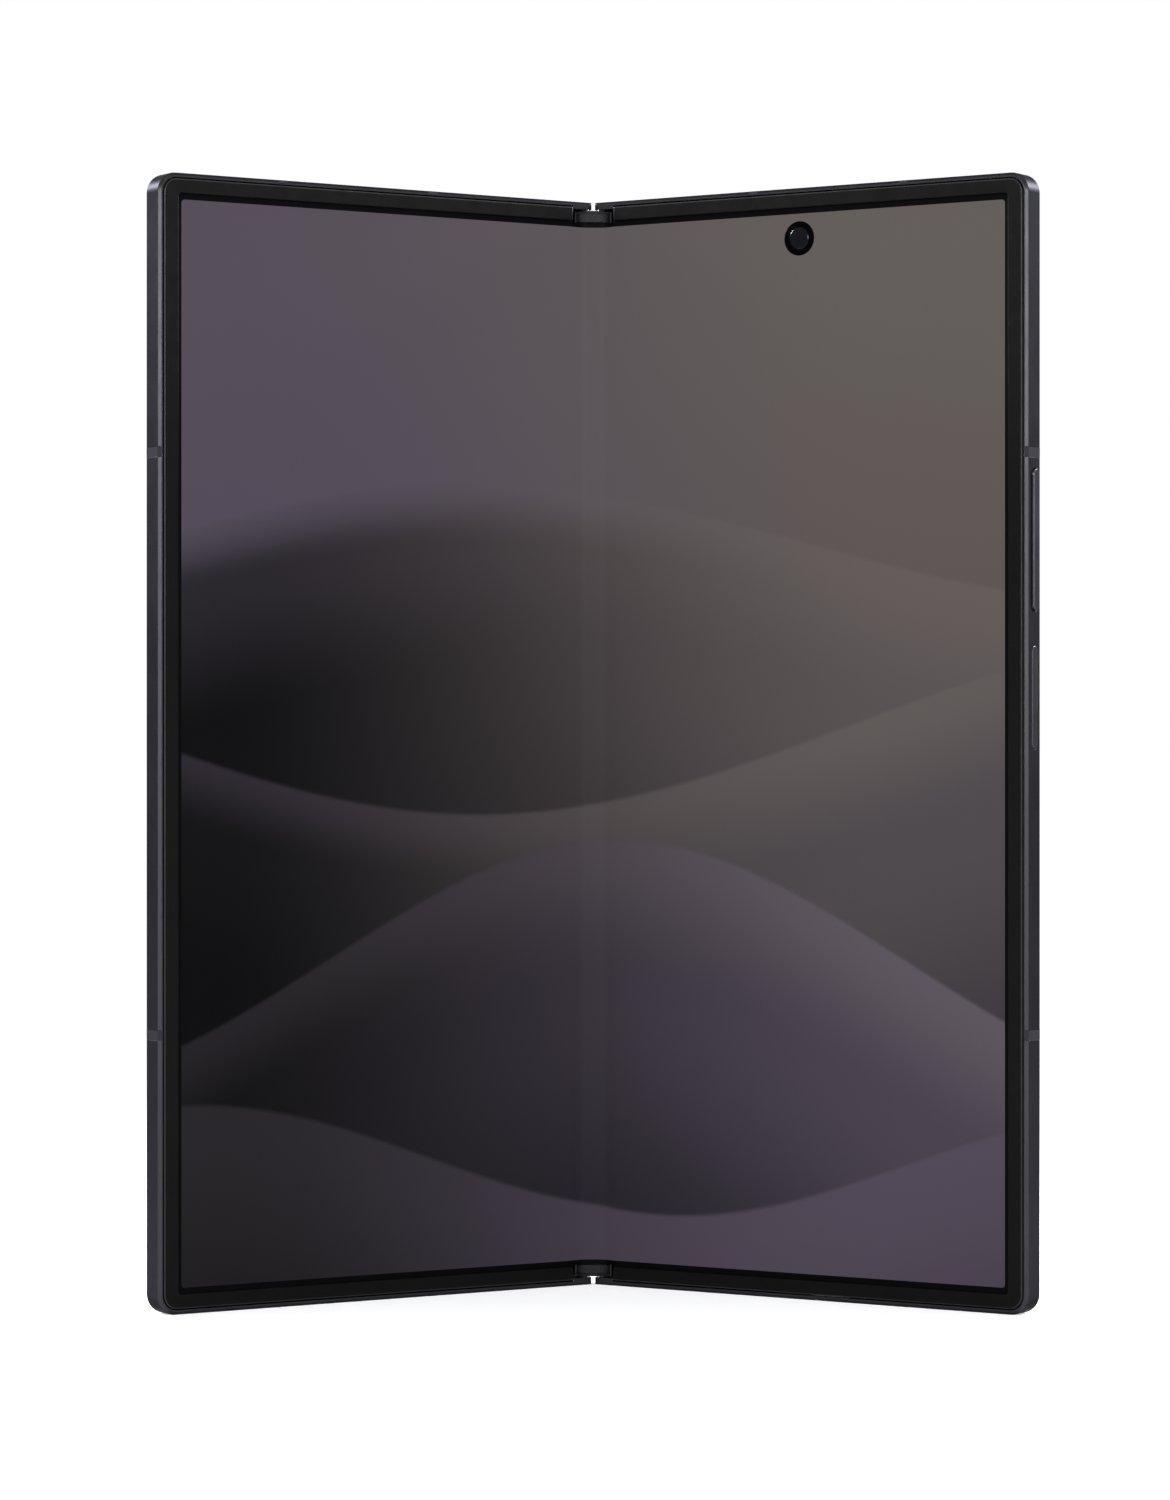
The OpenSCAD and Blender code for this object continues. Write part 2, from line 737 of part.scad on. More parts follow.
module hinge_end_caps() {
    color("#2e2e32") spine() both_ends() difference() {
        union() {
            cap_block(nose_half, nose_crown, spine_end, spine_end + nose_l);
            cap_block(cap_half, cap_crown, spine_end + nose_l, spine_end + cap_l);
        }
        both_sides() {
            rod(axis_x, axis_up, pin_r + pin_slip, 0, gear_z0);
            rod(axis_x, axis_up, pinion_r + gear_tip + gear_play,
                gear_z0 - gear_slack, spine_end + cap_l + over);
            rod(idler_x, idler_up, idler_r + gear_tip + gear_play,
                gear_z0 - gear_slack, spine_end + cap_l + over);
            rod(idler_x, idler_up, idler_shaft_r, spine_end + nose_l, gear_z1);
            rod(spring_x, spring_up, rod_r,
                spine_end + cap_l - rod_seat, spine_end + cap_l + over);
        }
    }
}

// Gear with straight, slightly slack teeth, its first tooth towards "first"
module gear(teeth, first) {
    r = gear_m * teeth / 2;
    foot = r - gear_root - tooth_sink;
    half_tooth = 0.19 * PI * gear_m;
    rotate(-first) {
        circle(r - gear_root, $fn = 32);
        for (i = [0 : teeth - 1]) rotate(i * 360 / teeth)
            polygon([[foot, -1.35 * half_tooth], [r, -half_tooth],
                     [r + gear_tip, -0.5 * half_tooth], [r + gear_tip, 0.5 * half_tooth],
                     [r, half_tooth], [foot, 1.35 * half_tooth]]);
    }
}

// First tooth of a pinion that meshes with an idler whose first tooth is at "first"
function pinion_first(first) = mesh_angle + 180
    + (mesh_angle - first) * idler_teeth / pinion_teeth + 180 / pinion_teeth;
left_idler_first = 180 / idler_teeth;

module pinion_shaft(first) {
    both_ends() {
        rod(axis_x, axis_up, pin_r, pin_z0, gear_z0);
        translate([axis_x, -axis_up, gear_z0]) linear_extrude(gear_t)
            gear(pinion_teeth, pinion_first(first));
    }
}
module right_pinion_shafts() { color("gainsboro") spine() pinion_shaft(0); }
module left_pinion_shafts() {
    color("gainsboro") spine() mirror([1, 0, 0]) pinion_shaft(left_idler_first);
}

module idler_gear(first) {
    both_ends() translate([idler_x, -idler_up, gear_z0]) linear_extrude(gear_t) difference() {
        gear(idler_teeth, first);
        circle(idler_shaft_r + pin_slip);
    }
}
module right_idler_gears() { color("darkgray") spine() idler_gear(0); }
module left_idler_gears() {
    color("darkgray") spine() mirror([1, 0, 0]) idler_gear(left_idler_first);
}
module idler_shafts() {
    color("silver") spine() both_ends() both_sides()
        rod(idler_x, idler_up, idler_shaft_r, spine_end + nose_l, gear_z1);
}

module hinge_carriers() {
    color("slategray") spine() for (z = carrier_z) difference() {
        union() {
            intersection() {
                translate([0, 0, z - carrier_l / 2]) linear_extrude(carrier_l)
                    spine_section(bore_r, wing_low);
                slab(-plate_half, plate_half, 0, body_t, z - carrier_l, z + carrier_l);
            }
            both_sides() for (z0 = [z - carrier_l / 2, z + carrier_l / 2 - ear_l]) {
                rod(wing_x, wing_up, wing_hub_r, z0, z0 + ear_l);
                slab(plate_half - 0.5, wing_x, wing_up - wing_hub_r, wing_up, z0, z0 + ear_l);
            }
        }
        both_sides() rod(wing_x, wing_up, wing_pin_r, z - carrier_l, z + carrier_l);
        both_ends() both_sides()
            rod(spring_x, spring_up, rod_r, carrier_z[0] - carrier_l,
                carrier_z[0] - carrier_l / 2 + rod_seat);
        for (side = [-1, 1]) {
            disc(0, z + side * carrier_screw_z, screw_r / 2, 0, body_t);
            disc(0, z + side * carrier_screw_z, screw_r, wing_low - screw_head_t, body_t);
        }
    }
}
module hinge_carrier_screws() {
    color("silver") spine() for (z = carrier_z, side = [-1, 1]) {
        disc(0, z + side * carrier_screw_z, screw_r / 2, spine_low + screw_bite,
             wing_low - screw_head_t + slip);
        disc(0, z + side * carrier_screw_z, screw_r - slip, wing_low - screw_head_t,
             wing_low - slip);
    }
}
module hinge_centre_plate() {
    color("lightgray") spine()
        slab(-plate_half, plate_half, wing_low, wing_top, fold_end + plate_in,
             body_h - fold_end - plate_in);
}
module hinge_spring_rods() {
    color("silver") spine() both_ends() both_sides()
        rod(spring_x, spring_up, rod_r, spine_end + cap_l - rod_seat,
            carrier_z[0] - carrier_l / 2 + rod_seat);
}
module hinge_torque_springs() {
    color("goldenrod") spine() both_ends() both_sides() difference() {
        rod(spring_x, spring_up, spring_r, spring_z0, spring_z0 + spring_l);
        rod(spring_x, spring_up, rod_r + pin_slip, 0, spring_z0 + spring_l + over);
    }
}

module wing() {
    translate([wing_x, -wing_up, 0]) rotate(-rest_turn) translate([-wing_x, wing_up, 0])
        difference() {
            union() {
                slab(wing_x0, wing_x1, wing_low, wing_top, fold_end + plate_in,
                     body_h - fold_end - plate_in);
                for (z = carrier_z)
                    rod(wing_x, wing_up, wing_hub_r, z - carrier_l / 2 + ear_l + ear_gap,
                        z + carrier_l / 2 - ear_l - ear_gap);
            }
            for (z = carrier_z) {
                rod(wing_x, wing_up, wing_pin_r + pin_slip, z - carrier_l, z + carrier_l);
                for (z0 = [z - carrier_l / 2, z + carrier_l / 2 - ear_l])
                    slab(wing_x0 - over, wing_x + wing_hub_r + hub_slack, wing_low - over,
                         wing_top + over, z0 - ear_gap, z0 + ear_l + ear_gap);
            }
        }
}
module right_wing_plate() { color("gray") spine() wing(); }
module left_wing_plate() { color("gray") spine() mirror([1, 0, 0]) wing(); }
module wing_pins() {
    color("silver") spine() both_sides() for (z = carrier_z)
        rod(wing_x, wing_up, wing_pin_r, z - carrier_l / 2, z + carrier_l / 2);
}

// ---------------------------------------------------------------- keys
// Key cap with the flange that keeps it in the rail
module key(z, l, out) {
    seat = half_w - rail_t + flange_deep - slip;
    slot_z(z, key_up, l, key_w, seat - flange_t, half_w + out);
    slab(seat - flange_t, seat, key_up - flange_half, key_up + flange_half,
         z - l / 2 - flange_lap, z + l / 2 + flange_lap);
}
module volume_key() { color("dimgray") right() key(volume_z, volume_l, volume_out); }
module side_key() { color("dimgray") right() key(side_key_z, side_key_l, side_key_out); }

// Strip behind the keys with a switch for each press
module key_switches() {
    face = half_w - rail_t + flange_deep - slip - flange_t - key_travel - slip;
    color("#8a6a2f") right() {
        slab(face - switch_t - switch_strip_t, face - switch_t,
             key_up - switch_strip_w / 2, midplate_low,
             side_key_z - side_key_l / 2, volume_z + volume_l / 2);
        for (z = [side_key_z, volume_z - volume_l / 4, volume_z + volume_l / 4])
            slab(face - switch_t, face, key_up - switch_w / 2, key_up + switch_w / 2,
                 z - switch_l / 2, z + switch_l / 2);
    }
}

// ---------------------------------------------------------------- cameras
module inner_camera_window() {
    color("#08080a") right()
        disc(inner_cam_x, inner_cam_z, inner_cam_d / 2, screen_low, screen_top);
}
module inner_camera_module() {
    color("#202024") right() {
        disc(inner_cam_x, inner_cam_z, inner_cam_d / 2 - slip,
             part_top - inner_module_sink, screen_low);
        slab(inner_cam_x - inner_module_w / 2, inner_cam_x + inner_module_w / 2,
             cell_low, part_top - inner_module_sink,
             inner_cam_z - inner_module_w / 2, inner_cam_z + inner_module_w / 2);
    }
}

module camera_island() {
    color("#55565c") right() difference() {
        plate(-island_out, 0)
            rounded(island_x - island_w / 2, island_x + island_w / 2,
                    island_z - island_l / 2, island_z + island_l / 2, island_w / 2 - 0.01);
        for (z = lens_z) disc(island_x, z, lens_seat_r, -island_out - over, over);
    }
}
module camera_lens_rings() {
    color("#77787f") right() for (z = lens_z) difference() {
        disc(island_x, z, ring_d / 2, -island_out - ring_out, -island_out);
        disc(island_x, z, lens_seat_r, -island_out - ring_out - over, over);
    }
}
module camera_lens_glasses() {
    color("#0a0a0d") right() for (z = lens_z)
        disc(island_x, z, lens_seat_r - slip, -island_out - ring_out + lens_glass_sink,
             -island_out - barrel_sink);
}
module rear_camera(z) {
    disc(island_x, z, barrel_r, -island_out + barrel_sink, cell_low + module_deep);
    slab(island_x - module_w / 2, island_x + module_w / 2, cell_low + module_deep,
         midplate_low, z - module_w / 2, z + module_w / 2);
}
module upper_rear_camera() { color("#202024") right() rear_camera(lens_z[0]); }
module middle_rear_camera() { color("#202024") right() rear_camera(lens_z[1]); }
module lower_rear_camera() { color("#202024") right() rear_camera(lens_z[2]); }
module flash_lens() {
    color("#e8e2c8") right() disc(flash_x, flash_z, flash_d / 2, -flash_out, board_low);
}

// ---------------------------------------------------------------- inside
module battery() {
    slab(battery_x0, battery_x0 + battery_w, cell_low, midplate_low,
         battery_z0, battery_z0 + battery_h);
}
module right_battery() { color("#b9bcc0") right() battery(); }
module left_battery() { color("#b9bcc0") left() battery(); }

module board(box) {
    difference() {
        slab(box[0], box[1], board_low, board_top, box[2], box[3]);
        for (p = screw_places(box)) disc(p[0], p[1], screw_r, 0, body_t);
    }
}
module main_board() { color("darkgreen") right() board(main_board_box); }
module port_board() { color("darkgreen") right() board(port_board_box); }
module left_board() { color("darkgreen") left() board(left_board_box); }

module board_screws(boxes) {
    for (box = boxes, p = screw_places(box)) {
        disc(p[0], p[1], screw_r, board_low - slip, midplate_low + midplate_t / 2);
        disc(p[0], p[1], screw_head_r, board_low - screw_head_t, board_low);
    }
}
module right_board_screws() {
    color("silver") right() board_screws([main_board_box, port_board_box]);
}
module left_board_screws() { color("silver") left() board_screws([left_board_box]); }

// Two metal cans on the main board, open towards it
module main_board_shields() {
    wall = shield_wall;
    z0 = main_board_box[2] + shield_end;
    z1 = main_board_box[3] - shield_end;
    middle = (z0 + z1) / 2;
    x0 = main_board_box[0] + shield_side;
    x1 = flash_x - flash_d / 2 - shield_gap;
    spans = [[z0, middle - shield_gap / 2], [middle + shield_gap / 2, z1]];
    color("lightgray") right() for (z = spans) difference() {
        slab(x0, x1, shield_low, board_low, z[0], z[1]);
        slab(x0 + wall, x1 - wall, shield_low + wall, board_low + over,
             z[0] + wall, z[1] - wall);
    }
}

module charging_socket() {
    color("silver") right() difference() {
        slot_x(port_x, port_up, port_w + 2 * port_shell, port_t + 2 * port_shell,
               port_z0, port_depth);
        slot_x(port_x, port_up, port_w, port_t, -over, port_depth - port_back);
    }
}
module charging_socket_tongue() {
    color("#18181a") right()
        slab(port_x - tongue_w / 2, port_x + tongue_w / 2,
             port_up - tongue_t / 2, port_up + tongue_t / 2, port_z0 + 1, port_depth - port_back);
}

module speaker_box(h) {
    slab(speaker_box_x0, speaker_box_x1, cell_low + lift, midplate_low,
         rail_t + speaker_foot, rail_t + speaker_foot + h);
}
module lower_speaker() { color("#1c1c1f") right() speaker_box(lower_speaker_h); }
module upper_speaker() { color("#1c1c1f") left() upper_end() speaker_box(upper_speaker_h); }
module vibration_motor() {
    color("lightsteelblue") left()
        slab(cavity_x0 + motor_in, cavity_x0 + motor_in + motor_w, cell_low + lift,
             midplate_low, motor_z0, motor_z0 + motor_h);
}
module charging_coil() {
    coil_x = battery_x0 + battery_w / 2;
    coil_z = battery_z0 + battery_h / 2;
    color("#b4712e") right() difference() {
        disc(coil_x, coil_z, coil_r, glass_t, cell_low);
        disc(coil_x, coil_z, coil_bore_r, 0, cell_low + over);
    }
}

module card_tray() {
    color("dimgray") left() difference() {
        union() {
            slot_x(tray_x, tray_up, tray_face_l, tray_face_t, tray_z0, tray_z0 + tray_face_deep);
            slab(tray_x - tray_body_w / 2, tray_x + tray_body_w / 2,
                 tray_up - tray_body_t / 2, tray_up + tray_body_t / 2,
                 tray_z0 + tray_face_deep / 2, tray_depth);
        }
        rod(tray_x + tray_face_l / 2 - eject_in, tray_up, eject_d / 2, -over, eject_deep);
        slab(tray_x - card_w / 2, tray_x + card_w / 2,
             tray_up - tray_body_t / 2 + card_floor, body_t, card_z0, card_z0 + card_l);
    }
}
module card_reader() {
    half = tray_body_w / 2 + key_gap;
    low = tray_up - tray_body_t / 2 - key_gap;
    color("silver") left() difference() {
        slab(tray_x - half - reader_wall, tray_x + half + reader_wall,
             low - reader_wall, midplate_low, rail_t + reader_wall, tray_depth + 1);
        slab(tray_x - half, tray_x + half, low, tray_up + tray_body_t / 2 + key_gap,
             0, tray_depth + reader_wall / 2);
    }
}

right_frame();
left_frame();
right_antenna_bands();
left_antenna_bands();
right_screen_surround();
left_screen_surround();
right_inner_screen();
left_inner_screen();
inner_screen_fold();
right_screen_backing();
left_screen_backing();
back_glass();
cover_glass();
cover_display_panel();
hinge_spine_cover();
hinge_end_caps();
hinge_carriers();
hinge_carrier_screws();
hinge_centre_plate();
hinge_torque_springs();
hinge_spring_rods();
left_wing_plate();
right_wing_plate();
wing_pins();
left_pinion_shafts();
right_pinion_shafts();
left_idler_gears();
right_idler_gears();
idler_shafts();
volume_key();
side_key();
key_switches();
inner_camera_window();
inner_camera_module();
camera_island();
camera_lens_rings();
camera_lens_glasses();
upper_rear_camera();
middle_rear_camera();
lower_rear_camera();
flash_lens();
cover_camera_module();
right_battery();
left_battery();
main_board();
main_board_shields();
port_board();
left_board();
charging_socket();
charging_socket_tongue();
lower_speaker();
upper_speaker();
vibration_motor();
charging_coil();
card_tray();
card_reader();
right_frame_magnets();
left_frame_magnets();
right_board_screws();
left_board_screws();
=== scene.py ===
"""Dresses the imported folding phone: finishes, bending screen, eased metalwork, cameras, stage."""
import json
import math
from types import SimpleNamespace

import bmesh
import bpy
from mathutils import Matrix, Vector


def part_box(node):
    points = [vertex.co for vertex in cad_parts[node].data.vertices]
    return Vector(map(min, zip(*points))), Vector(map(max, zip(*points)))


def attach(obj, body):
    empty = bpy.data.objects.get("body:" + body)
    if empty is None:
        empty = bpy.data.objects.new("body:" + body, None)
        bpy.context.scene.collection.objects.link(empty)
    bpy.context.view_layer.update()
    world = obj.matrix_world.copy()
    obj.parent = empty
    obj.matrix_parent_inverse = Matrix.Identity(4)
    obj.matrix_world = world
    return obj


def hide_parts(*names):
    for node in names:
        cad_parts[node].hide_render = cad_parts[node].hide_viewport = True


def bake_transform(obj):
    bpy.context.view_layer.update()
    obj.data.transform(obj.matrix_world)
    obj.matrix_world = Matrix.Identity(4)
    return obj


bl_info = {
    "name": "Folding phone",
    "version": (1, 0, 0),
    "blender": (4, 5, 0),
    "location": "3D Viewport > Sidebar > Phone",
    "description": "Builds the visible pieces and finishes of a book-style folding phone",
    "category": "Object",
}

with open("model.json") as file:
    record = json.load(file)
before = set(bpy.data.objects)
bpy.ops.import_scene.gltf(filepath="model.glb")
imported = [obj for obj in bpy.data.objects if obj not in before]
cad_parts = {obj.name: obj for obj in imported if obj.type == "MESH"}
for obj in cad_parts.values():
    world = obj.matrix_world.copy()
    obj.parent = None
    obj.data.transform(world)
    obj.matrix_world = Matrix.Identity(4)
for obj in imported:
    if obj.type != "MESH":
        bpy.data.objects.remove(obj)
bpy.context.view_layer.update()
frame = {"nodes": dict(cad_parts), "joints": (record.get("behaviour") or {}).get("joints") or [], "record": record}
JOINTS = {joint["name"]: joint for joint in frame["joints"]}
NODES = frame["nodes"]

MM = 0.001
MICRON = 0.000001
REST_TURN = math.radians(-JOINTS["right_fold"]["range_deg"][0])     # of each half, from flat
AXIS_X, AXIS_Y = (value / MM for value in JOINTS["right_fold"]["pos_m"][:2])
RIGHT, LEFT = 1, -1
SIDES = {"right": RIGHT, "left": LEFT}
SIDE_BODY = {RIGHT: "right_half", LEFT: "left_half"}
BODY_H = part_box("right_frame")[1].z / MM
SAME_POINT = 0.0005      # points nearer than this are one, mm


# ------------------------------------------------------------------ settings
def length(name, description, millimetres):
    """A length setting, kept in metres."""
    return bpy.props.FloatProperty(name=name, description=description, unit="LENGTH",
                                   default=millimetres * MM, precision=5)


def colour(name, description, red, green, blue):
    """A colour setting, given as 0 to 255 on screen and kept linear."""
    return bpy.props.FloatVectorProperty(name=name, description=description, subtype="COLOR",
                                         size=3, min=0, max=1, default=linear(red, green, blue))


def linear(*levels):
    """Linear values of 0 to 255 screen levels."""
    return tuple((v / 255 / 12.92) if v <= 10 else ((v / 255 + 0.055) / 1.055) ** 2.4
                 for v in levels)


class PhoneSizes(bpy.types.PropertyGroup):
    """Sizes of the visible pieces."""
    axis_up: length("Axis height", "Height of the fold axes above the outer face", 3.65)
    screen_top: length("Screen level", "Height of the screen's face", 3.85)
    screen_t: length("Screen thickness", "Thickness of the folding screen", 0.3)
    screen_x: length("Screen edge", "Distance of the screen's outer edge from the hinge", 68.9)
    screen_end: length("Screen end", "Distance of the screen's end from the phone's end", 2.45)
    fold_end: length("Bend end", "Where the screen starts beside the end caps", 3.0)
    bend: length("Bend length", "Length of screen that bends on each side", 4.0)
    lit_w: length("Lit width", "Lit width on one half", 67.9)
    lit_h: length("Lit height", "Lit height of the screen", 151.04)
    surround_top: length("Surround top", "Height of the surround's face", 4.3)
    surround_seat: length("Surround seat", "Underside of the surround's lip", 3.9)
    surround_low: length("Surround foot", "Lowest point of the surround's leg", 3.35)
    surround_start: length("Surround start", "Distance of its ends from the hinge line", 3.72)
    surround_x: length("Surround edge", "Its outer edge from the hinge line", 70.8)
    surround_end: length("Surround end", "Its outer edge from the phone's end", 0.82)
    surround_r: length("Surround corner", "Radius of its outer corners", 2.0)
    window_x: length("Window edge", "Its inner edge from the hinge line", 68.5)
    window_end: length("Window end", "Its inner edge from the phone's end", 2.85)
    window_r: length("Window corner", "Radius of its inner corners", 0.5)
    surround_ease: length("Surround rounding", "Rounding of the surround's edges", 0.18)
    metal_ease: length("Metal rounding", "Rounding of the metal's edges", 0.07)
    key_ease: length("Key rounding", "Rounding of the side keys' edges", 0.15)
    glass_ease: length("Glass rounding", "Rounding of the glass edges", 0.14)
    inner_cam_x: length("Inner camera place", "Its distance from the hinge line", 34.9)
    inner_cam_down: length("Inner camera drop", "Its distance from the upper edge", 7.2)
    inner_cam_r: length("Inner camera radius", "Radius of its window", 2.45)
    island_x: length("Island place", "Middle of the camera island from the hinge", 58.2)
    island_down: length("Island drop", "Middle of the island from the upper edge", 32.4)
    lens_pitch: length("Lens spacing", "Distance between the rear lenses", 15.8)
    lens_level: length("Lens level", "Height of the lens glass out of the back", 2.25)
    lens_r: length("Lens radius", "Radius of the lens glass", 5.15)
    ring_r: length("Ring radius", "Radius of the rings round the rear lenses", 6.7)
    flash_x: length("Flash place", "Middle of the flash from the hinge line", 45.4)
    flash_r: length("Flash radius", "Radius of the flash window", 2.2)
    cover_cam_x: length("Cover camera place", "Its distance from the hinge line", 38.0)
    cover_cam_down: length("Cover camera drop", "Its distance from the upper edge", 8.0)
    port_x: length("Socket place", "Middle of the socket from the hinge line", 39.6)
    port_up: length("Socket height", "Middle of the socket above the outer face", 1.95)
    speaker_x: length("Speaker place", "First speaker hole from the hinge line", 56.6)
    speaker_pitch: length("Speaker spacing", "Distance between speaker holes", 1.7)
    key_up: length("Key height", "Middle of the side keys above the outer face", 1.95)


class PhoneColours(bpy.types.PropertyGroup):
    """Colours of the finishes."""
    frame: colour("Frame", "Anodised frame", 43, 43, 46)
    island: colour("Island", "Camera island", 58, 57, 62)
    band: colour("Bands", "Antenna bands", 36, 36, 39)
    surround: colour("Surround", "Screen surround", 8, 8, 8)
    caps: colour("End caps", "Hinge end caps", 26, 26, 27)
    back: colour("Back glass", "Satin back glass", 52, 53, 58)
    steel: colour("Hinge steel", "Machined hinge parts", 168, 168, 170)
    copper: colour("Coil", "Wound coil", 168, 98, 58)


def sizes():
    """The size settings in millimetres."""
    group = bpy.context.scene.phone_sizes
    names = PhoneSizes.__annotations__.keys()
    return SimpleNamespace(**{name: getattr(group, name) / MM for name in names})


def colours():
    """The colour settings."""
    return bpy.context.scene.phone_colours


# ------------------------------------------------------------------ placing
def half_matrix(side):
    """From a flat half in millimetres (x outwards, y = -height, z up) to its place at rest."""
    turn = Matrix.Rotation(-REST_TURN, 4, "Z")
    place = Matrix.Translation((AXIS_X, AXIS_Y, 0))
    back = Matrix.Translation((-AXIS_X, sizes().axis_up, 0))
    mirror = Matrix.Diagonal((side, 1, 1, 1))
    return Matrix.Scale(MM, 4) @ mirror @ place @ turn @ back


def finish_mesh(name, bm, matrix, smooth_angle=35, weighted=True):
    """A mesh object at the origin from a bmesh, with outward normals and level large faces."""
    bmesh.ops.transform(bm, matrix=matrix, verts=bm.verts)
    if matrix.determinant() < 0:
        bmesh.ops.reverse_faces(bm, faces=bm.faces)
    mesh = bpy.data.meshes.new(name)
    for face in bm.faces:
        face.smooth = True
    bm.to_mesh(mesh)
    bm.free()
    mesh.set_sharp_from_angle(angle=math.radians(smooth_angle))
    obj = bpy.data.objects.new(name, mesh)
    bpy.context.collection.objects.link(obj)
    if weighted:
        level = obj.modifiers.new("Level faces", "WEIGHTED_NORMAL")
        level.keep_sharp = True
    return obj


def settle(obj, body, slot, material, *replaced):
    """Gives a piece its finish and, when a body is named, its body, and hides the nodes it stands for."""
    obj.data.materials.append(material)
    if body:
        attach(obj, body)
    if replaced:
        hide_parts(*replaced)
    return obj


# ------------------------------------------------------------------ materials
def shader(name, **values):
    """A material with one Principled shader, and its shader node."""
    material = bpy.data.materials.new(name)
    material.use_nodes = True
    node = material.node_tree.nodes["Principled BSDF"]
    for socket, value in values.items():
        plug = node.inputs[socket.replace("_", " ")]
        if hasattr(plug.default_value, "__len__") and len(value) == 3:
            value = (*value, 1.0)
        plug.default_value = value
    return material, node


def add(material, kind, **settings):
    """A node in a material or world, with its properties and inputs set."""
    node = material.node_tree.nodes.new(kind)
    for key, value in settings.items():
        if hasattr(node, key):
            setattr(node, key, value)
        else:
            node.inputs[key.replace("_", " ")].default_value = value
    return node


def link(material, source, target):
    """Joins one node's output to another's input."""
    material.node_tree.links.new(source, target)


def noise(material, scale, detail=3.0, stretch=(1, 1, 1), rough=0.6):
    """A noise pattern on object coordinates, stretched per axis."""
    place = add(material, "ShaderNodeTexCoord")
    mapping = add(material, "ShaderNodeMapping")
    mapping.inputs["Scale"].default_value = stretch
    pattern = add(material, "ShaderNodeTexNoise", Scale=scale, Detail=detail, Roughness=rough)
    link(material, place.outputs["Object"], mapping.inputs["Vector"])
    link(material, mapping.outputs["Vector"], pattern.inputs["Vector"])
    return pattern.outputs["Fac"]


def spread(material, source, low, high, start=0.3, stop=0.7):
    """Maps a pattern's values to a range."""
    node = add(material, "ShaderNodeMapRange")
    for key, value in (("From Min", start), ("From Max", stop), ("To Min", low), ("To Max", high)):
        node.inputs[key].default_value = value
    link(material, source, node.inputs["Value"])
    return node.outputs["Result"]


def bump(material, node, source, distance, strength=1.0):
    """Fine relief on a shader."""
    relief = add(material, "ShaderNodeBump", Strength=strength, Distance=distance)
    link(material, source, relief.inputs["Height"])
    link(material, relief.outputs["Normal"], node.inputs["Normal"])


def tone(material, node, source, base, low=0.85, high=1.12):
    """Slight colour variation about a base colour."""
    ramp = add(material, "ShaderNodeValToRGB")
    ramp.color_ramp.elements[0].position = 0.3
    ramp.color_ramp.elements[1].position = 0.7
    ramp.color_ramp.elements[0].color = (*(c * low for c in base), 1)
    ramp.color_ramp.elements[1].color = (*(min(1, c * high) for c in base), 1)
    link(material, source, ramp.inputs["Fac"])
    link(material, ramp.outputs["Color"], node.inputs["Base Color"])


EDGE_TINT = (0.40, 0.40, 0.40)     # dye in the coat, which also dulls glancing light


def anodised(name, base, roughness=0.38):
    """Satin anodised metal: fine blasted grain, slight unevenness in gloss and tone."""
    material, node = shader(name, Metallic=1.0, Base_Color=base, Specular_Tint=EDGE_TINT)
    tone(material, node, noise(material, 60, 4), base, 0.94, 1.06)
    rough = spread(material, noise(material, 220, 3), roughness - 0.02, roughness + 0.03)
    link(material, rough, node.inputs["Roughness"])
    bump(material, node, noise(material, 9000, 2), 4 * MICRON, 0.05)
    return material


def moulded(name, base, roughness=0.45, spec=0.35, grain=0.3):
    """Moulded plastic with a fine spark-eroded grain."""
    material, node = shader(name, Base_Color=base)
    node.inputs["Specular IOR Level"].default_value = spec
    tone(material, node, noise(material, 90, 4), base, 0.9, 1.1)
    link(material, spread(material, noise(material, 400), roughness - 0.06, roughness + 0.06),
         node.inputs["Roughness"])
    bump(material, node, noise(material, 7000, 2), 5 * MICRON, grain)
    return material


def machined(name, base, roughness=0.3, stretch=(1, 1, 0.03)):
    """Drawn or machined metal, its lines running along z."""
    material, node = shader(name, Metallic=1.0, Base_Color=base)
    tone(material, node, noise(material, 2500, 3, stretch), base, 0.8, 1.1)
    link(material, spread(material, noise(material, 900, 3, stretch), roughness - 0.08,
                          roughness + 0.1), node.inputs["Roughness"])
    bump(material, node, noise(material, 5000, 2, stretch), 5 * MICRON, 0.3)
    return material


def polished_glass(name, base, roughness=0.06, spec=0.5):
    """Dark glass with a fine coat and faint wipe marks in the gloss."""
    material, node = shader(name, Base_Color=base)
    node.inputs["Specular IOR Level"].default_value = spec
    tone(material, node, noise(material, 30, 3), base, 0.85, 1.15)
    link(material, spread(material, noise(material, 45, 5), roughness * 0.7, roughness * 1.5),
         node.inputs["Roughness"])
    return material


def satin_glass(name, base):
    """Etched satin glass whose colour varies in fine lighter and darker specks, a painted sparkle."""
    material, node = shader(name, Base_Color=base, Metallic=0.35)
    node.inputs["Specular IOR Level"].default_value = 0.4
    # painted sparkle: fine specks of lighter and darker colour
    tone(material, node, noise(material, 12000, 2), base, 0.75, 1.35)
    link(material, spread(material, noise(material, 50, 4), 0.42, 0.5), node.inputs["Roughness"])
    bump(material, node, noise(material, 8000, 2), 4 * MICRON, 0.3)
    return material


def foil(name, base):
    """Dull crinkled pouch foil."""
    material, node = shader(name, Metallic=0.7, Base_Color=base)
    tone(material, node, noise(material, 120, 4), base, 0.8, 1.15)
    link(material, spread(material, noise(material, 300), 0.35, 0.55), node.inputs["Roughness"])
    bump(material, node, noise(material, 180, 4), 60 * MICRON, 0.4)
    return material


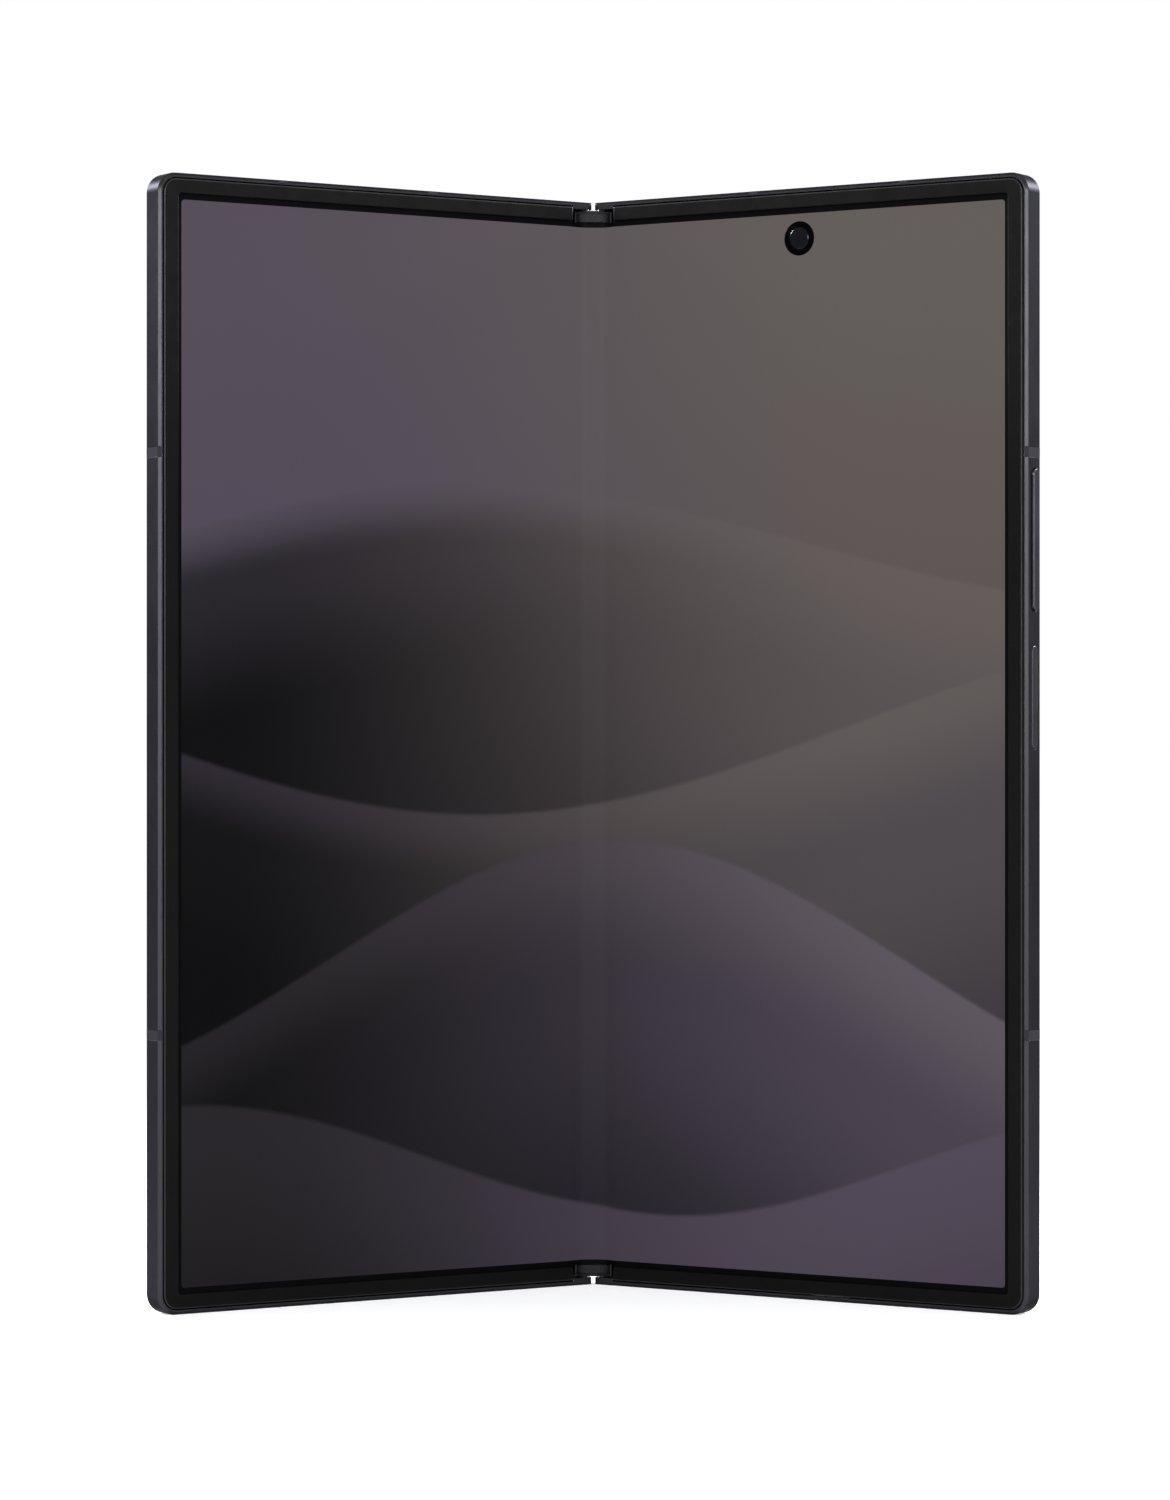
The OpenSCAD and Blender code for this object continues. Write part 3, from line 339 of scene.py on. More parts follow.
def board_mask(name, base):
    """Solder mask with a faint pattern of tracks under it."""
    material, node = shader(name, Base_Color=base)
    node.inputs["Coat Weight"].default_value = 0.4
    place = add(material, "ShaderNodeTexCoord")
    tracks = add(material, "ShaderNodeTexVoronoi", Scale=900.0, distance="MANHATTAN")
    link(material, place.outputs["Object"], tracks.inputs["Vector"])
    tone(material, node, tracks.outputs["Distance"], base, 0.6, 1.6)
    link(material, spread(material, noise(material, 500), 0.3, 0.45), node.inputs["Roughness"])
    bump(material, node, tracks.outputs["Distance"], 20 * MICRON, 0.3)
    return material


def wound(name, base):
    """Flat wound coil: rings about the coil's own middle."""
    material, node = shader(name, Metallic=1.0, Base_Color=base, Roughness=0.3)
    low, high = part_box("charging_coil")
    middle = (low + high) / 2
    place = add(material, "ShaderNodeTexCoord")
    mapping = add(material, "ShaderNodeMapping", vector_type="POINT")
    mapping.inputs["Location"].default_value = -middle
    wave = add(material, "ShaderNodeTexWave", Scale=260.0, wave_type="RINGS",
               rings_direction="SPHERICAL", Distortion=0.0)
    link(material, place.outputs["Object"], mapping.inputs["Vector"])
    link(material, mapping.outputs["Vector"], wave.inputs["Vector"])
    tone(material, node, wave.outputs["Fac"], base, 0.45, 1.2)
    bump(material, node, wave.outputs["Fac"], 80 * MICRON, 0.6)
    return material


FINISHES = {}


def finishes():
    """The finish of each material slot, by slot; made once."""
    if not FINISHES:
        FINISHES.update(new_finishes())
    return FINISHES


def new_finishes():
    """A material for each material slot of the record."""
    c = colours()
    return {
        "frame_metal": anodised("Graphite anodised frame", tuple(c.frame)),
        "key_metal": anodised("Graphite anodised keys", linear(58, 57, 63), 0.34),
        "antenna_plastic": moulded("Antenna band resin", tuple(c.band), 0.6, 0.0),
        "surround_plastic": moulded("Black surround resin", tuple(c.surround), 0.42, 0.035),
        "inner_display": polished_glass("Screen edge", linear(8, 8, 9), 0.2, 0.2),
        "screen_backing": machined("Rolled screen backing", linear(150, 150, 152), 0.35,
                                   (1, 1, 0.05)),
        "back_glass": satin_glass("Satin graphite glass", tuple(c.back)),
        "cover_glass": polished_glass("Black cover glass", linear(9, 9, 11)),
        "display_panel": polished_glass("Panel laminate", linear(14, 14, 16), 0.15),
        "spine_metal": anodised("Graphite anodised spine", linear(50, 49, 54), 0.3),
        "hinge_steel": machined("Machined hinge steel", tuple(c.steel)),
        "screw_steel": machined("Plated screws", linear(185, 185, 187), 0.25),
        "spring_steel": machined("Spring wire", linear(170, 158, 130), 0.28),
        "magnet_nickel": machined("Nickel plate", linear(205, 203, 198), 0.15),
        "island_metal": anodised("Graphite camera island", tuple(c.island), 0.3),
        "lens_glass": polished_glass("Lens glass", linear(8, 8, 12), 0.04),
        "camera_body": moulded("Camera body", linear(26, 26, 28), 0.5),
        "flash_diffuser": polished_glass("Flash window", linear(222, 217, 190), 0.2),
        "battery_foil": foil("Battery foil", linear(150, 152, 155)),
        "board_mask": board_mask("Solder mask", linear(18, 62, 38)),
        "black_plastic": moulded("Black moulding", linear(24, 24, 26), 0.5),
        "motor_steel": machined("Motor can", linear(160, 160, 165), 0.25),
        "coil_copper": wound("Wound copper", tuple(c.copper)),
        "flex_gold": moulded("Polyimide strip", linear(148, 104, 44), 0.35, 0.5, 0.1),
    }


# ------------------------------------------------------------------ screen picture
def math_node(material, operation, *values):
    """A Math node whose inputs are sockets or numbers."""
    node = add(material, "ShaderNodeMath", operation=operation)
    for i, value in enumerate(values):
        if isinstance(value, bpy.types.NodeSocket):
            link(material, value, node.inputs[i])
        else:
            node.inputs[i].default_value = value
    return node.outputs[0]


def ramp_node(material, source, stops):
    """A colour ramp through (position, screen colour) stops."""
    node = add(material, "ShaderNodeValToRGB")
    node.color_ramp.interpolation = "EASE"
    elements = node.color_ramp.elements
    while len(elements) < len(stops):
        elements.new(0.5)
    for element, (position, levels) in zip(elements, stops):
        element.position = position
        element.color = (*linear(*levels), 1)
    link(material, source, node.inputs["Fac"])
    return node.outputs["Color"]


def mix_colours(material, factor, first, second):
    """A colour between two colour sockets."""
    node = add(material, "ShaderNodeMix", data_type="RGBA")
    for index, value in ((0, factor), (6, first), (7, second)):
        link(material, value, node.inputs[index])
    return node.outputs[2]


def smooth_step(material, source, stop, start=0.0):
    """A soft step from 0 to 1 between two values of a socket."""
    node = add(material, "ShaderNodeMapRange", interpolation_type="SMOOTHSTEP")
    node.inputs["From Min"].default_value = start
    node.inputs["From Max"].default_value = stop
    link(material, source, node.inputs["Value"])
    return node.outputs["Result"]


# Soft overlapping dunes: crest level, swell, waves across, phase, then tones from the crest
# down at the left and at the right
DUNES = (
    (0.690, 0.060, 0.62, 0.02,
     ((0.0, (78, 71, 84)), (0.14, (38, 34, 40)), (0.45, (6, 6, 7))),
     ((0.0, (98, 91, 89)), (0.35, (88, 81, 82)), (1.0, (66, 61, 65)))),
    (0.520, 0.085, 0.55, 0.55,
     ((0.0, (44, 39, 46)), (0.16, (12, 11, 13)), (0.5, (3, 3, 3))),
     ((0.0, (96, 89, 88)), (0.30, (78, 73, 76)), (1.0, (52, 48, 54)))),
    (0.300, 0.110, 0.70, 0.88,
     ((0.0, (34, 31, 35)), (0.20, (11, 10, 11)), (0.6, (9, 8, 9))),
     ((0.0, (92, 84, 92)), (0.35, (72, 65, 76)), (1.0, (44, 40, 48)))),
    (0.110, 0.060, 0.85, 0.25,
     ((0.0, (38, 35, 39)), (0.5, (26, 24, 26)), (1.0, (24, 22, 24))),
     ((0.0, (80, 72, 86)), (0.5, (68, 61, 73)), (1.0, (56, 50, 62)))),
)
DUNE_DEPTH = 0.42        # share of the screen's height over which a dune's tones run down
CREST_SOFT = 0.006
SKY_LEFT = ((0.55, (80, 72, 88)), (1.0, (84, 76, 86)))
SKY_RIGHT = ((0.55, (92, 84, 82)), (1.0, (98, 92, 89)))
LIT_CORNER = 0.5         # radius of the lit area's corners, mm


def dune_picture(material, across, along):
    """Colour of the generic picture, from 0 to 1 across and along the screen."""
    side = smooth_step(material, across, 0.92, 0.04)
    picture = mix_colours(material, side, ramp_node(material, along, SKY_LEFT),
                          ramp_node(material, along, SKY_RIGHT))
    for level, swell, waves, phase, left_tones, right_tones in DUNES:
        angle = math_node(material, "MULTIPLY_ADD", across, waves * math.tau, phase * math.tau)
        crest = math_node(material, "MULTIPLY_ADD", math_node(material, "SINE", angle),
                          swell, level)
        below = math_node(material, "SUBTRACT", crest, along)
        depth = math_node(material, "DIVIDE", below, DUNE_DEPTH)
        body = mix_colours(material, side, ramp_node(material, depth, left_tones),
                           ramp_node(material, depth, right_tones))
        picture = mix_colours(material, smooth_step(material, below, CREST_SOFT), picture, body)
    return picture


def lit_area(material, across, along):
    """1 inside the lit area, whose corners are slightly round, and 0 outside it."""
    s = sizes()
    squares = []
    for socket, size in ((across, 2 * s.lit_w), (along, s.lit_h)):
        centred = math_node(material, "MULTIPLY_ADD", socket, size, -size / 2)
        beyond = math_node(material, "SUBTRACT", math_node(material, "ABSOLUTE", centred),
                           size / 2 - LIT_CORNER)
        outside = math_node(material, "MAXIMUM", beyond, 0.0)
        squares.append(math_node(material, "POWER", outside, 2.0))
    distance = math_node(material, "SQRT", math_node(material, "ADD", *squares))
    return math_node(material, "LESS_THAN", distance, LIT_CORNER)


def lit_screen():
    """The screen's face: a lit picture inside a black border, under a soft clear film."""
    material, node = shader("Lit folding screen", Base_Color=linear(4, 4, 5))
    node.inputs["Specular IOR Level"].default_value = 0.015
    place = add(material, "ShaderNodeTexCoord")
    split = add(material, "ShaderNodeSeparateXYZ")
    link(material, place.outputs["UV"], split.inputs["Vector"])
    across, along = split.outputs["X"], split.outputs["Y"]
    link(material, dune_picture(material, across, along), node.inputs["Emission Color"])
    link(material, lit_area(material, across, along), node.inputs["Emission Strength"])
    link(material, spread(material, noise(material, 60, 4), 0.40, 0.50), node.inputs["Roughness"])
    return material


# ------------------------------------------------------------------ inner screen
BEND_STRIPS, FLAT_STRIPS, ROWS = 20, 8, 12
BEND_ROUNDS = 40         # rounds in which a point's share of the turn settles


def smooth_share(t):
    """Soft step from 0 to 1."""
    return t * t * (3 - 2 * t)


def bent_point(along, up, axis_up, share):
    """Place of a screen point at rest, turned about its half's axis by a share of the turn."""
    turn = REST_TURN * share
    dx, dy = along - AXIS_X, up - axis_up
    return Vector((AXIS_X + dx * math.cos(turn) - dy * math.sin(turn),
                   axis_up + dx * math.sin(turn) + dy * math.cos(turn)))


def bend_ends(s):
    """Where the bend starts and ends at rest, as (x, height) in the hinge's frame."""
    return Vector((0, s.screen_top)), bent_point(s.bend, s.screen_top, s.axis_up, 1)


def bend_share(along, up, s):
    """Share of the turn that a point takes, so that the screen is flat when the phone is."""
    start, end = bend_ends(s)
    line = end - start
    share = smooth_share(min(1, max(0, along / s.bend)))
    for _ in range(BEND_ROUNDS):
        point = bent_point(along, up, s.axis_up, share)
        share = smooth_share(min(1, max(0, (point - start).dot(line) / line.length_squared)))
    return share


def spaced(start, stop, count):
    """Evenly spaced values from start to stop, count steps apart."""
    return [start + (stop - start) * i / count for i in range(count + 1)]


def flat_screen(bm, s, side):
    """A flat half screen in (x, 0, z), with a UV map for its picture, cut beside the caps."""
    columns = spaced(0, s.bend, BEND_STRIPS)[:-1] + spaced(s.bend, s.screen_x, FLAT_STRIPS)
    columns = sorted({*columns, s.surround_start})
    rows = [s.screen_end, *spaced(s.fold_end, BODY_H - s.fold_end, ROWS), BODY_H - s.screen_end]
    nx, ny = len(columns) - 1, len(rows) - 1
    bmesh.ops.create_grid(bm, x_segments=nx, y_segments=ny, size=1)
    uv = bm.loops.layers.uv.new("Screen")
    for vert in bm.verts:
        vert.co = (columns[round((vert.co.x + 1) / 2 * nx)], 0,
                   rows[round((vert.co.y + 1) / 2 * ny)])
    for face in bm.faces:
        for loop in face.loops:
            x, _, z = loop.vert.co
            loop[uv].uv = (0.5 + side * x / (2 * s.lit_w), 0.5 + (z - BODY_H / 2) / s.lit_h)
    beside_caps = [f for f in bm.faces
                   if f.calc_center_median().x < s.surround_start
                   and not s.fold_end < f.calc_center_median().z < BODY_H - s.fold_end]
    bmesh.ops.delete(bm, geom=beside_caps, context="FACES")


def half_screen(name, side):
    """One half of the folding screen, bent at rest, and the two ends of its bend."""
    s = sizes()
    bm = bmesh.new()
    flat_screen(bm, s, side)
    grown = bmesh.ops.extrude_face_region(bm, geom=bm.faces[:])
    for vert in grown["geom"]:
        if isinstance(vert, bmesh.types.BMVert):
            vert.co.y = 1
    # y now tells the face (0) from the underside (1)
    for vert in bm.verts:
        up = s.screen_top - s.screen_t * vert.co.y
        point = bent_point(vert.co.x, up, s.axis_up, bend_share(vert.co.x, up, s))
        vert.co = (point.x, AXIS_Y + s.axis_up - point.y, vert.co.z)
    bmesh.ops.recalc_face_normals(bm, faces=bm.faces)
    scale = Matrix.Scale(MM, 4) @ Matrix.Diagonal((side, 1, 1, 1))
    obj = finish_mesh(name, bm, scale, 50, weighted=False)
    ends = [(side * p.x * MM, (AXIS_Y + s.axis_up - p.y) * MM, 0.0) for p in bend_ends(s)]
    return obj, ends


class PHONE_OT_inner_screen(bpy.types.Operator):
    """Make both halves of the folding screen, which bend from the spine to each half"""
    bl_idname = "phone.inner_screen"
    bl_label = "Inner screen"

    def execute(self, context):
        material = lit_screen()
        stands_for = {"right": ("right_inner_screen", "inner_screen_fold"),
                      "left": ("left_inner_screen",)}
        for word, side in SIDES.items():
            obj, (start, end) = half_screen(f"folding_screen_{word}", side)
            settle(obj, None, "inner_display", material, *stands_for[word])
            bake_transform(obj)
        return {"FINISHED"}


# ------------------------------------------------------------------ surround
# The second finish darkens the walls round the window as painted shade; the third, on the rounding of the outer
# edge, is glossier and lighter in colour as a painted highlight.
PLAIN, SHADED_WALL, RIM = range(3)
REACH = 0.1              # beyond an edge, to catch the faces on it, mm
RIM_REACH = 0.5          # from the window's edge to where the outer part starts, mm
WALL_FACING = 0.5        # a face whose normal points out of the screen less than this is a wall
RIM_FACING = (-0.97, -0.2)     # normals of the rim's faces, from nearly level to nearly wall


def arc(cx, cz, radius, start, stop, steps=10):
    """Points on an arc, angles in degrees."""
    return [(cx + radius * math.cos(math.radians(a)), cz + radius * math.sin(math.radians(a)))
            for a in spaced(start, stop, steps)]


def c_outline(start, outer, inner):
    """Outline of a strip round three sides, open towards the hinge, where it starts.

    outer and inner are edges: distance from the hinge line, from the end, corner radius.
    """
    edges = []
    for x_edge, end, radius in (outer, inner):
        lower = [(start, end)] + arc(x_edge - radius, end + radius, radius, -90, 0)
        edges.append(lower + [(x, BODY_H - z) for x, z in reversed(lower)])
    return edges[0] + edges[1][::-1]


def prism(bm, outline, up0, up1):
    """Adds a closed solid from an outline in (x, z), between two heights."""
    base = bm.faces.new([bm.verts.new((x, -up0, z)) for x, z in outline])
    grown = bmesh.ops.extrude_face_region(bm, geom=[base])
    moved = [g for g in grown["geom"] if isinstance(g, bmesh.types.BMVert)]
    bmesh.ops.translate(bm, verts=moved, vec=(0, up0 - up1, 0))


def ease(bm, width, angle=30, segments=3):
    """Rounds the edges of a bmesh that are sharper than an angle."""
    limit = math.radians(angle)
    sharp = [e for e in bm.edges if len(e.link_faces) == 2 and e.calc_face_angle(0) > limit]
    bmesh.ops.bevel(bm, geom=sharp, offset=width, offset_type="OFFSET", segments=segments,
                    profile=0.5, affect="EDGES", clamp_overlap=False, material=-1)
    bmesh.ops.dissolve_degenerate(bm, dist=SAME_POINT, edges=bm.edges)


class PHONE_OT_surround(bpy.types.Operator):
    """Make the raised strips round the inner screen"""
    bl_idname = "phone.surround"
    bl_label = "Screen surround"

    def execute(self, context):
        s = sizes()
        materials = {PLAIN: finishes()["surround_plastic"],
                     # painted shade: a near-black finish for the walls round the window
                     SHADED_WALL: moulded("Black screen seal", linear(4, 4, 4), 0.7, 0.02),
                     # painted highlight: the outer edge's rounding is lighter in colour than the rest, and
                     # glossier
                     RIM: moulded("Polished surround rim", linear(24, 24, 23), 0.35, 0.12, 0.0)}
        outer = (s.surround_x, s.surround_end, s.surround_r)
        lip = c_outline(s.surround_start, outer, (s.window_x, s.window_end, s.window_r))
        leg = c_outline(s.surround_start, outer,
                        (s.screen_x + REACH, s.screen_end - REACH, 0.01))
        for word, side in SIDES.items():
            bm = bmesh.new()
            prism(bm, lip, s.surround_seat, s.surround_top)
            bmesh.ops.recalc_face_normals(bm, faces=bm.faces)
            ease(bm, s.surround_ease)
            prism(bm, leg, s.surround_low, s.surround_seat)
            bmesh.ops.recalc_face_normals(bm, faces=bm.faces)
            for face in bm.faces:
                face.material_index = self.finish_of(face, s)
            obj = finish_mesh(f"surround_{word}", bm, half_matrix(side), 40)
            settle(obj, f"{word}_half", "surround_plastic", materials[PLAIN],
                   f"{word}_screen_surround")
            obj.data.materials.append(materials[SHADED_WALL])
            obj.data.materials.append(materials[RIM])
        return {"FINISHED"}

    def finish_of(self, face, s):
        """Painted shade on the walls round the window; the rim finish, glossier and lighter in colour as a painted
        highlight, on the rounding of the outer edge.
        """
        middle, facing = face.calc_center_median(), face.normal.y
        end = min(middle.z, BODY_H - middle.z)
        inside = middle.x < s.window_x + REACH and end > s.window_end - REACH
        if inside and abs(facing) < WALL_FACING:
            return SHADED_WALL
        outside = middle.x > s.window_x + RIM_REACH or end < s.window_end - RIM_REACH
        raised = middle.y < -s.surround_seat - REACH
        if outside and raised and RIM_FACING[0] < facing < RIM_FACING[1]:
            return RIM
        return PLAIN


# ------------------------------------------------------------------ metalwork and glass
# node, name of its eased copy, rounding, body, slot
EASED = (
    ("right_frame", "frame_right", "metal_ease", "right_half", "frame_metal"),
    ("left_frame", "frame_left", "metal_ease", "left_half", "frame_metal"),
    ("volume_key", "volume_button", "key_ease", "volume_button", "key_metal"),
    ("side_key", "power_button", "key_ease", "side_button", "key_metal"),
    ("card_tray", "card_drawer", "metal_ease", "tray", "key_metal"),
    ("hinge_spine_cover", "spine_cover", "metal_ease", "hinge_spine", "spine_metal"),
    ("camera_island", "island", "glass_ease", "right_half", "island_metal"),
    ("back_glass", "glass_back", "glass_ease", "right_half", "back_glass"),
    ("cover_glass", "glass_cover", "glass_ease", "left_half", "cover_glass"),
    ("hinge_end_caps", "end_caps", "metal_ease", "hinge_spine", "spine_metal"),
)
ONE_PLANE_DEG = 0.4      # facets nearer in angle than this are joined


def eased_copy(node, name, width, body, slot, material):
    """A copy of a node with its facets joined and its sharp edges rounded."""
    bm = bmesh.new()
    bm.from_mesh(NODES[node].data)
    bmesh.ops.transform(bm, matrix=Matrix.Scale(1 / MM, 4), verts=bm.verts)
    bmesh.ops.remove_doubles(bm, verts=bm.verts, dist=SAME_POINT)
    bmesh.ops.dissolve_limit(bm, angle_limit=math.radians(ONE_PLANE_DEG), verts=bm.verts,
                             edges=bm.edges)
    ease(bm, width, angle=28, segments=2)
    obj = finish_mesh(name, bm, Matrix.Scale(MM, 4), 40)
    return settle(obj, body, slot, material, node)


class PHONE_OT_metalwork(bpy.types.Operator):
    """Round the edges of the frames, keys, tray, spine, island and outer glass"""
    bl_idname = "phone.metalwork"
    bl_label = "Metalwork and glass"

    def execute(self, context):
        s, made = sizes(), finishes()
        caps = moulded("End cap coat", tuple(colours().caps), 0.5, 0.06)
        for node, name, width, body, slot in EASED:
            material = caps if node == "hinge_end_caps" else made[slot]
            eased_copy(node, name, getattr(s, width), body, slot, material)
        return {"FINISHED"}


# ------------------------------------------------------------------ cameras
# Steps of the rear lens barrels: radius, upper and lower depth under the glass's face, mm
BARREL_STEPS = ((3.75, 0.12, 0.5), (3.2, 0.55, 0.9), (2.7, 0.95, 1.3))
BARREL_LEAN = 0.05


def spun(bm, profile, x, z, steps=64):
    """Adds a turned solid from (radius, height) points, its axis through the thickness."""
    verts = [bm.verts.new((r, -up, 0)) for r, up in profile]
    edges = [bm.edges.new(pair) for pair in zip(verts, verts[1:])]
    bmesh.ops.spin(bm, geom=verts + edges, cent=(0, 0, 0), axis=(0, 1, 0),
                   angle=math.tau, steps=steps, use_merge=True)
    new = [v for v in bm.verts if not v.tag]
    bmesh.ops.translate(bm, verts=new, vec=(x, 0, z))
    for vert in new:
        vert.tag = True


def turned_piece(name, profile, places, side, slot, material, *replaced, smooth=30):
    """Like turned pieces at several (x, z) places of one half, as one object."""
    bm = bmesh.new()
    for x, z in places:
        spun(bm, profile, x, z)
    bmesh.ops.remove_doubles(bm, verts=bm.verts, dist=SAME_POINT)
    bmesh.ops.recalc_face_normals(bm, faces=bm.faces)
    obj = finish_mesh(name, bm, half_matrix(side), smooth)
    return settle(obj, SIDE_BODY[side], slot, material, *replaced)


def dome(radius, level, rise, steps=6):
    """Profile points of a shallow dome, from its rim to its top."""
    rim = [(radius * math.cos(a), level + rise * math.sin(a))
           for a in spaced(0, math.pi / 2, steps)[:-1]]
    return rim + [(0.0, level + rise)]


def lens_with_painted_sheen(name, base, sheen):
    """Lens element whose colour turns from its base to a painted coloured sheen towards its rim."""
    material, node = shader(name, Roughness=0.05)
    node.inputs["Coat Weight"].default_value = 1.0
    node.inputs["Coat Roughness"].default_value = 0.03
    # painted sheen: the base colour turns to the sheen colour where the surface turns away from the view
    weight = add(material, "ShaderNodeLayerWeight", Blend=0.35)
    ramp = add(material, "ShaderNodeValToRGB")
    ramp.color_ramp.elements[0].color = (*base, 1)
    ramp.color_ramp.elements[1].color = (*sheen, 1)
    link(material, weight.outputs["Facing"], ramp.inputs["Fac"])
    link(material, ramp.outputs["Color"], node.inputs["Base Color"])
    return material


class PHONE_OT_cameras(bpy.types.Operator):
    """Make the lens rings, rear lenses, flash, cover camera and inner camera"""
    bl_idname = "phone.cameras"
    bl_label = "Cameras"

    def execute(self, context):
        s, made = sizes(), finishes()
        lens = lens_with_painted_sheen("Coated lens", linear(10, 8, 22), linear(70, 44, 110))
        rears = [(s.island_x, BODY_H - s.island_down + i * s.lens_pitch) for i in (1, 0, -1)]
        self.rear_cameras(s, made, lens, rears)
        self.flash(s, made, [(s.flash_x, rears[0][1])])
        self.cover_camera(lens, [(s.cover_cam_x, BODY_H - s.cover_cam_down)])
        self.inner_camera(s, [(s.inner_cam_x, BODY_H - s.inner_cam_down)])
        return {"FINISHED"}

    def rear_cameras(self, s, made, lens, places):
        """Rings, glasses with stepped barrels, and the coated elements in them."""
        level, r, seat = -s.lens_level, s.ring_r, s.lens_r + 0.05
        island_face = level + 0.75
        ring = [(seat, island_face), (seat, level - 0.05), (seat + 0.1, level - 0.15),
                (r - 0.55, level - 0.15), (r - 0.25, level - 0.08), (r - 0.05, level + 0.15),
                (r, level + 0.4), (r, island_face), (seat, island_face)]
        turned_piece("lens_rings", ring, places, RIGHT, "island_metal", made["island_metal"],
                     "camera_lens_rings")
        foot, edge, mouth = -0.15, 0.08, BARREL_STEPS[0][0] + 0.15
        glass = [(0.0, foot), (s.lens_r, foot), (s.lens_r, level + 0.06),
                 (s.lens_r - edge, level), (mouth, level)]
        for radius, upper, lower in BARREL_STEPS:
            glass += [(radius, level + upper), (radius - BARREL_LEAN, level + lower)]
        floor = glass[-1][1]
        turned_piece("rear_lens_glass", glass + [(0.0, floor)], places, RIGHT, "lens_glass",
                     made["lens_glass"], "camera_lens_glasses")
        radius, rise, sunk = 2.6, -0.6, 0.05
        element = dome(radius, floor, rise) + [(0.0, floor + sunk), (radius, floor + sunk)]
        turned_piece("rear_lens_elements", element, places, RIGHT, "lens_glass", lens, smooth=60)

    def flash(self, s, made, places):
        """Flash window with fine rings in its face."""
        foot, face, crest, rings = 0.3, -0.04, -0.14, 5
        profile = [(0.0, foot), (s.flash_r, foot), (s.flash_r, 0.02), (s.flash_r - 0.12, face)]
        for i in range(rings, 0, -1):
            radius = (s.flash_r - 0.2) * i / rings
            profile += [(radius, face), (radius - 0.06, crest)]
        turned_piece("flash_window", profile + [(0.0, -0.1)], places, RIGHT, "flash_diffuser",
                     made["flash_diffuser"], "flash_lens")

    def cover_camera(self, lens, places):
        """Ring and small lens of the camera in the cover glass."""
        radius, foot, top, floor = 1.9, 0.1, -0.03, 0.02
        eye = [(0.0, foot), (radius, foot), (radius, -0.015), (radius - 0.15, top),
               (1.35, top), (1.3, floor)] + dome(1.2, floor, -0.045)
        turned_piece("cover_camera_eye", eye, places, LEFT, "lens_glass", lens)

    def inner_camera(self, s, places):
        """Black window with a raised ring, and the small lens in it."""
        low, face, ring = s.screen_top - 0.3, s.screen_top + 0.012, s.screen_top + 0.02
        r, ring_r = s.inner_cam_r, 1.7
        window = [(0.0, low), (r, low), (r, face), (r - 0.04, ring), (ring_r, ring),
                  (ring_r - 0.08, face), (0.0, face)]
        black = polished_glass("Inner camera window", linear(1, 1, 2), 0.25, 0.01)
        turned_piece("inner_camera_face", window, places, RIGHT, "cover_glass", black,
                     "inner_camera_window")
        eye_r, foot, rim = 1.575, s.screen_top + 0.005, s.screen_top + 0.0125
        tint = polished_glass("Inner lens", linear(7, 6, 10), 0.12, 0.06)
        turned_piece("inner_camera_eye", dome(eye_r, rim, 0.12) + [(0.0, foot), (eye_r, foot)],
                     places, RIGHT, "lens_glass", tint, smooth=60)


# ------------------------------------------------------------------ ports
def block(bm, x0, x1, up0, up1, z0, z1):
    """Adds a box between two x, heights and z."""
    for vert in bmesh.ops.create_cube(bm, size=1)["verts"]:
        vert.co = (x0 if vert.co.x < 0 else x1, -up0 if vert.co.y > 0 else -up1,
                   z0 if vert.co.z < 0 else z1)


class PHONE_OT_ports(bpy.types.Operator):
    """Make the socket's contacts and the gauze behind the speaker holes"""
    bl_idname = "phone.ports"
    bl_label = "Ports"

    def execute(self, context):
        s = sizes()
        self.contacts(s)
        gauze = moulded("Speaker gauze", linear(20, 20, 22), 0.6, 0.3)
        depth, thick = 1.2, 0.15
        self.gauze(s, "lower_gauze", RIGHT, depth + thick / 2, thick, gauze)
        self.gauze(s, "upper_gauze", LEFT, BODY_H - depth - thick / 2, thick, gauze)
        return {"FINISHED"}

    def contacts(self, s):
        """Gilt contacts on both faces of the socket's tongue."""
        pitch, count, wide, thick, tongue = 0.5, 12, 0.25, 0.03, 0.35
        low, high = 1.4, 5.4
        bm = bmesh.new()
        for face in (-1, 1):
            for i in range(count):
                x = s.port_x + (i - (count - 1) / 2) * pitch
                under, over = sorted(s.port_up + face * up for up in (tongue, tongue + thick))
                block(bm, x - wide / 2, x + wide / 2, under, over, low, high)
        gold = machined("Contact gold", linear(212, 170, 92), 0.2, (1, 1, 0.1))
        obj = finish_mesh("socket_contacts", bm, half_matrix(RIGHT))
        settle(obj, "right_half", "hinge_steel", gold)

    def gauze(self, s, name, side, z, thick, material):
        """Round pieces of gauze behind six speaker holes."""
        holes, radius = 6, 0.5
        bm = bmesh.new()
        for i in range(holes):
            made = bmesh.ops.create_cone(bm, cap_ends=True, segments=24, radius1=radius,
                                         radius2=radius, depth=thick)["verts"]
            x = s.speaker_x + i * s.speaker_pitch
            bmesh.ops.translate(bm, verts=made, vec=(x, -s.key_up, z))
        obj = finish_mesh(name, bm, half_matrix(side))
        settle(obj, SIDE_BODY[side], "black_plastic", material)


class PHONE_OT_finishes(bpy.types.Operator):
    """Give every CAD node the finish of its material slot"""
    bl_idname = "phone.finishes"
    bl_label = "Finishes"

    def execute(self, context):
        made = finishes()
        for part in frame["record"]["subparts"]:
            obj = NODES[part["node"]]
            obj.data.materials.clear()
            obj.data.materials.append(made[part["material_slot"]])
        return {"FINISHED"}


# ------------------------------------------------------------------ stage
CAMERA_BACK = 697.2      # from the camera to the outer face's plane at the hinge, mm
LENS, SENSOR = 113.66, 36      # focal length and long side, mm
PHOTO_W, PHOTO_H = 1170, 1500
OBJECT_X, OBJECT_Y = 593.2, 743.6     # middle of the object in the photograph, px


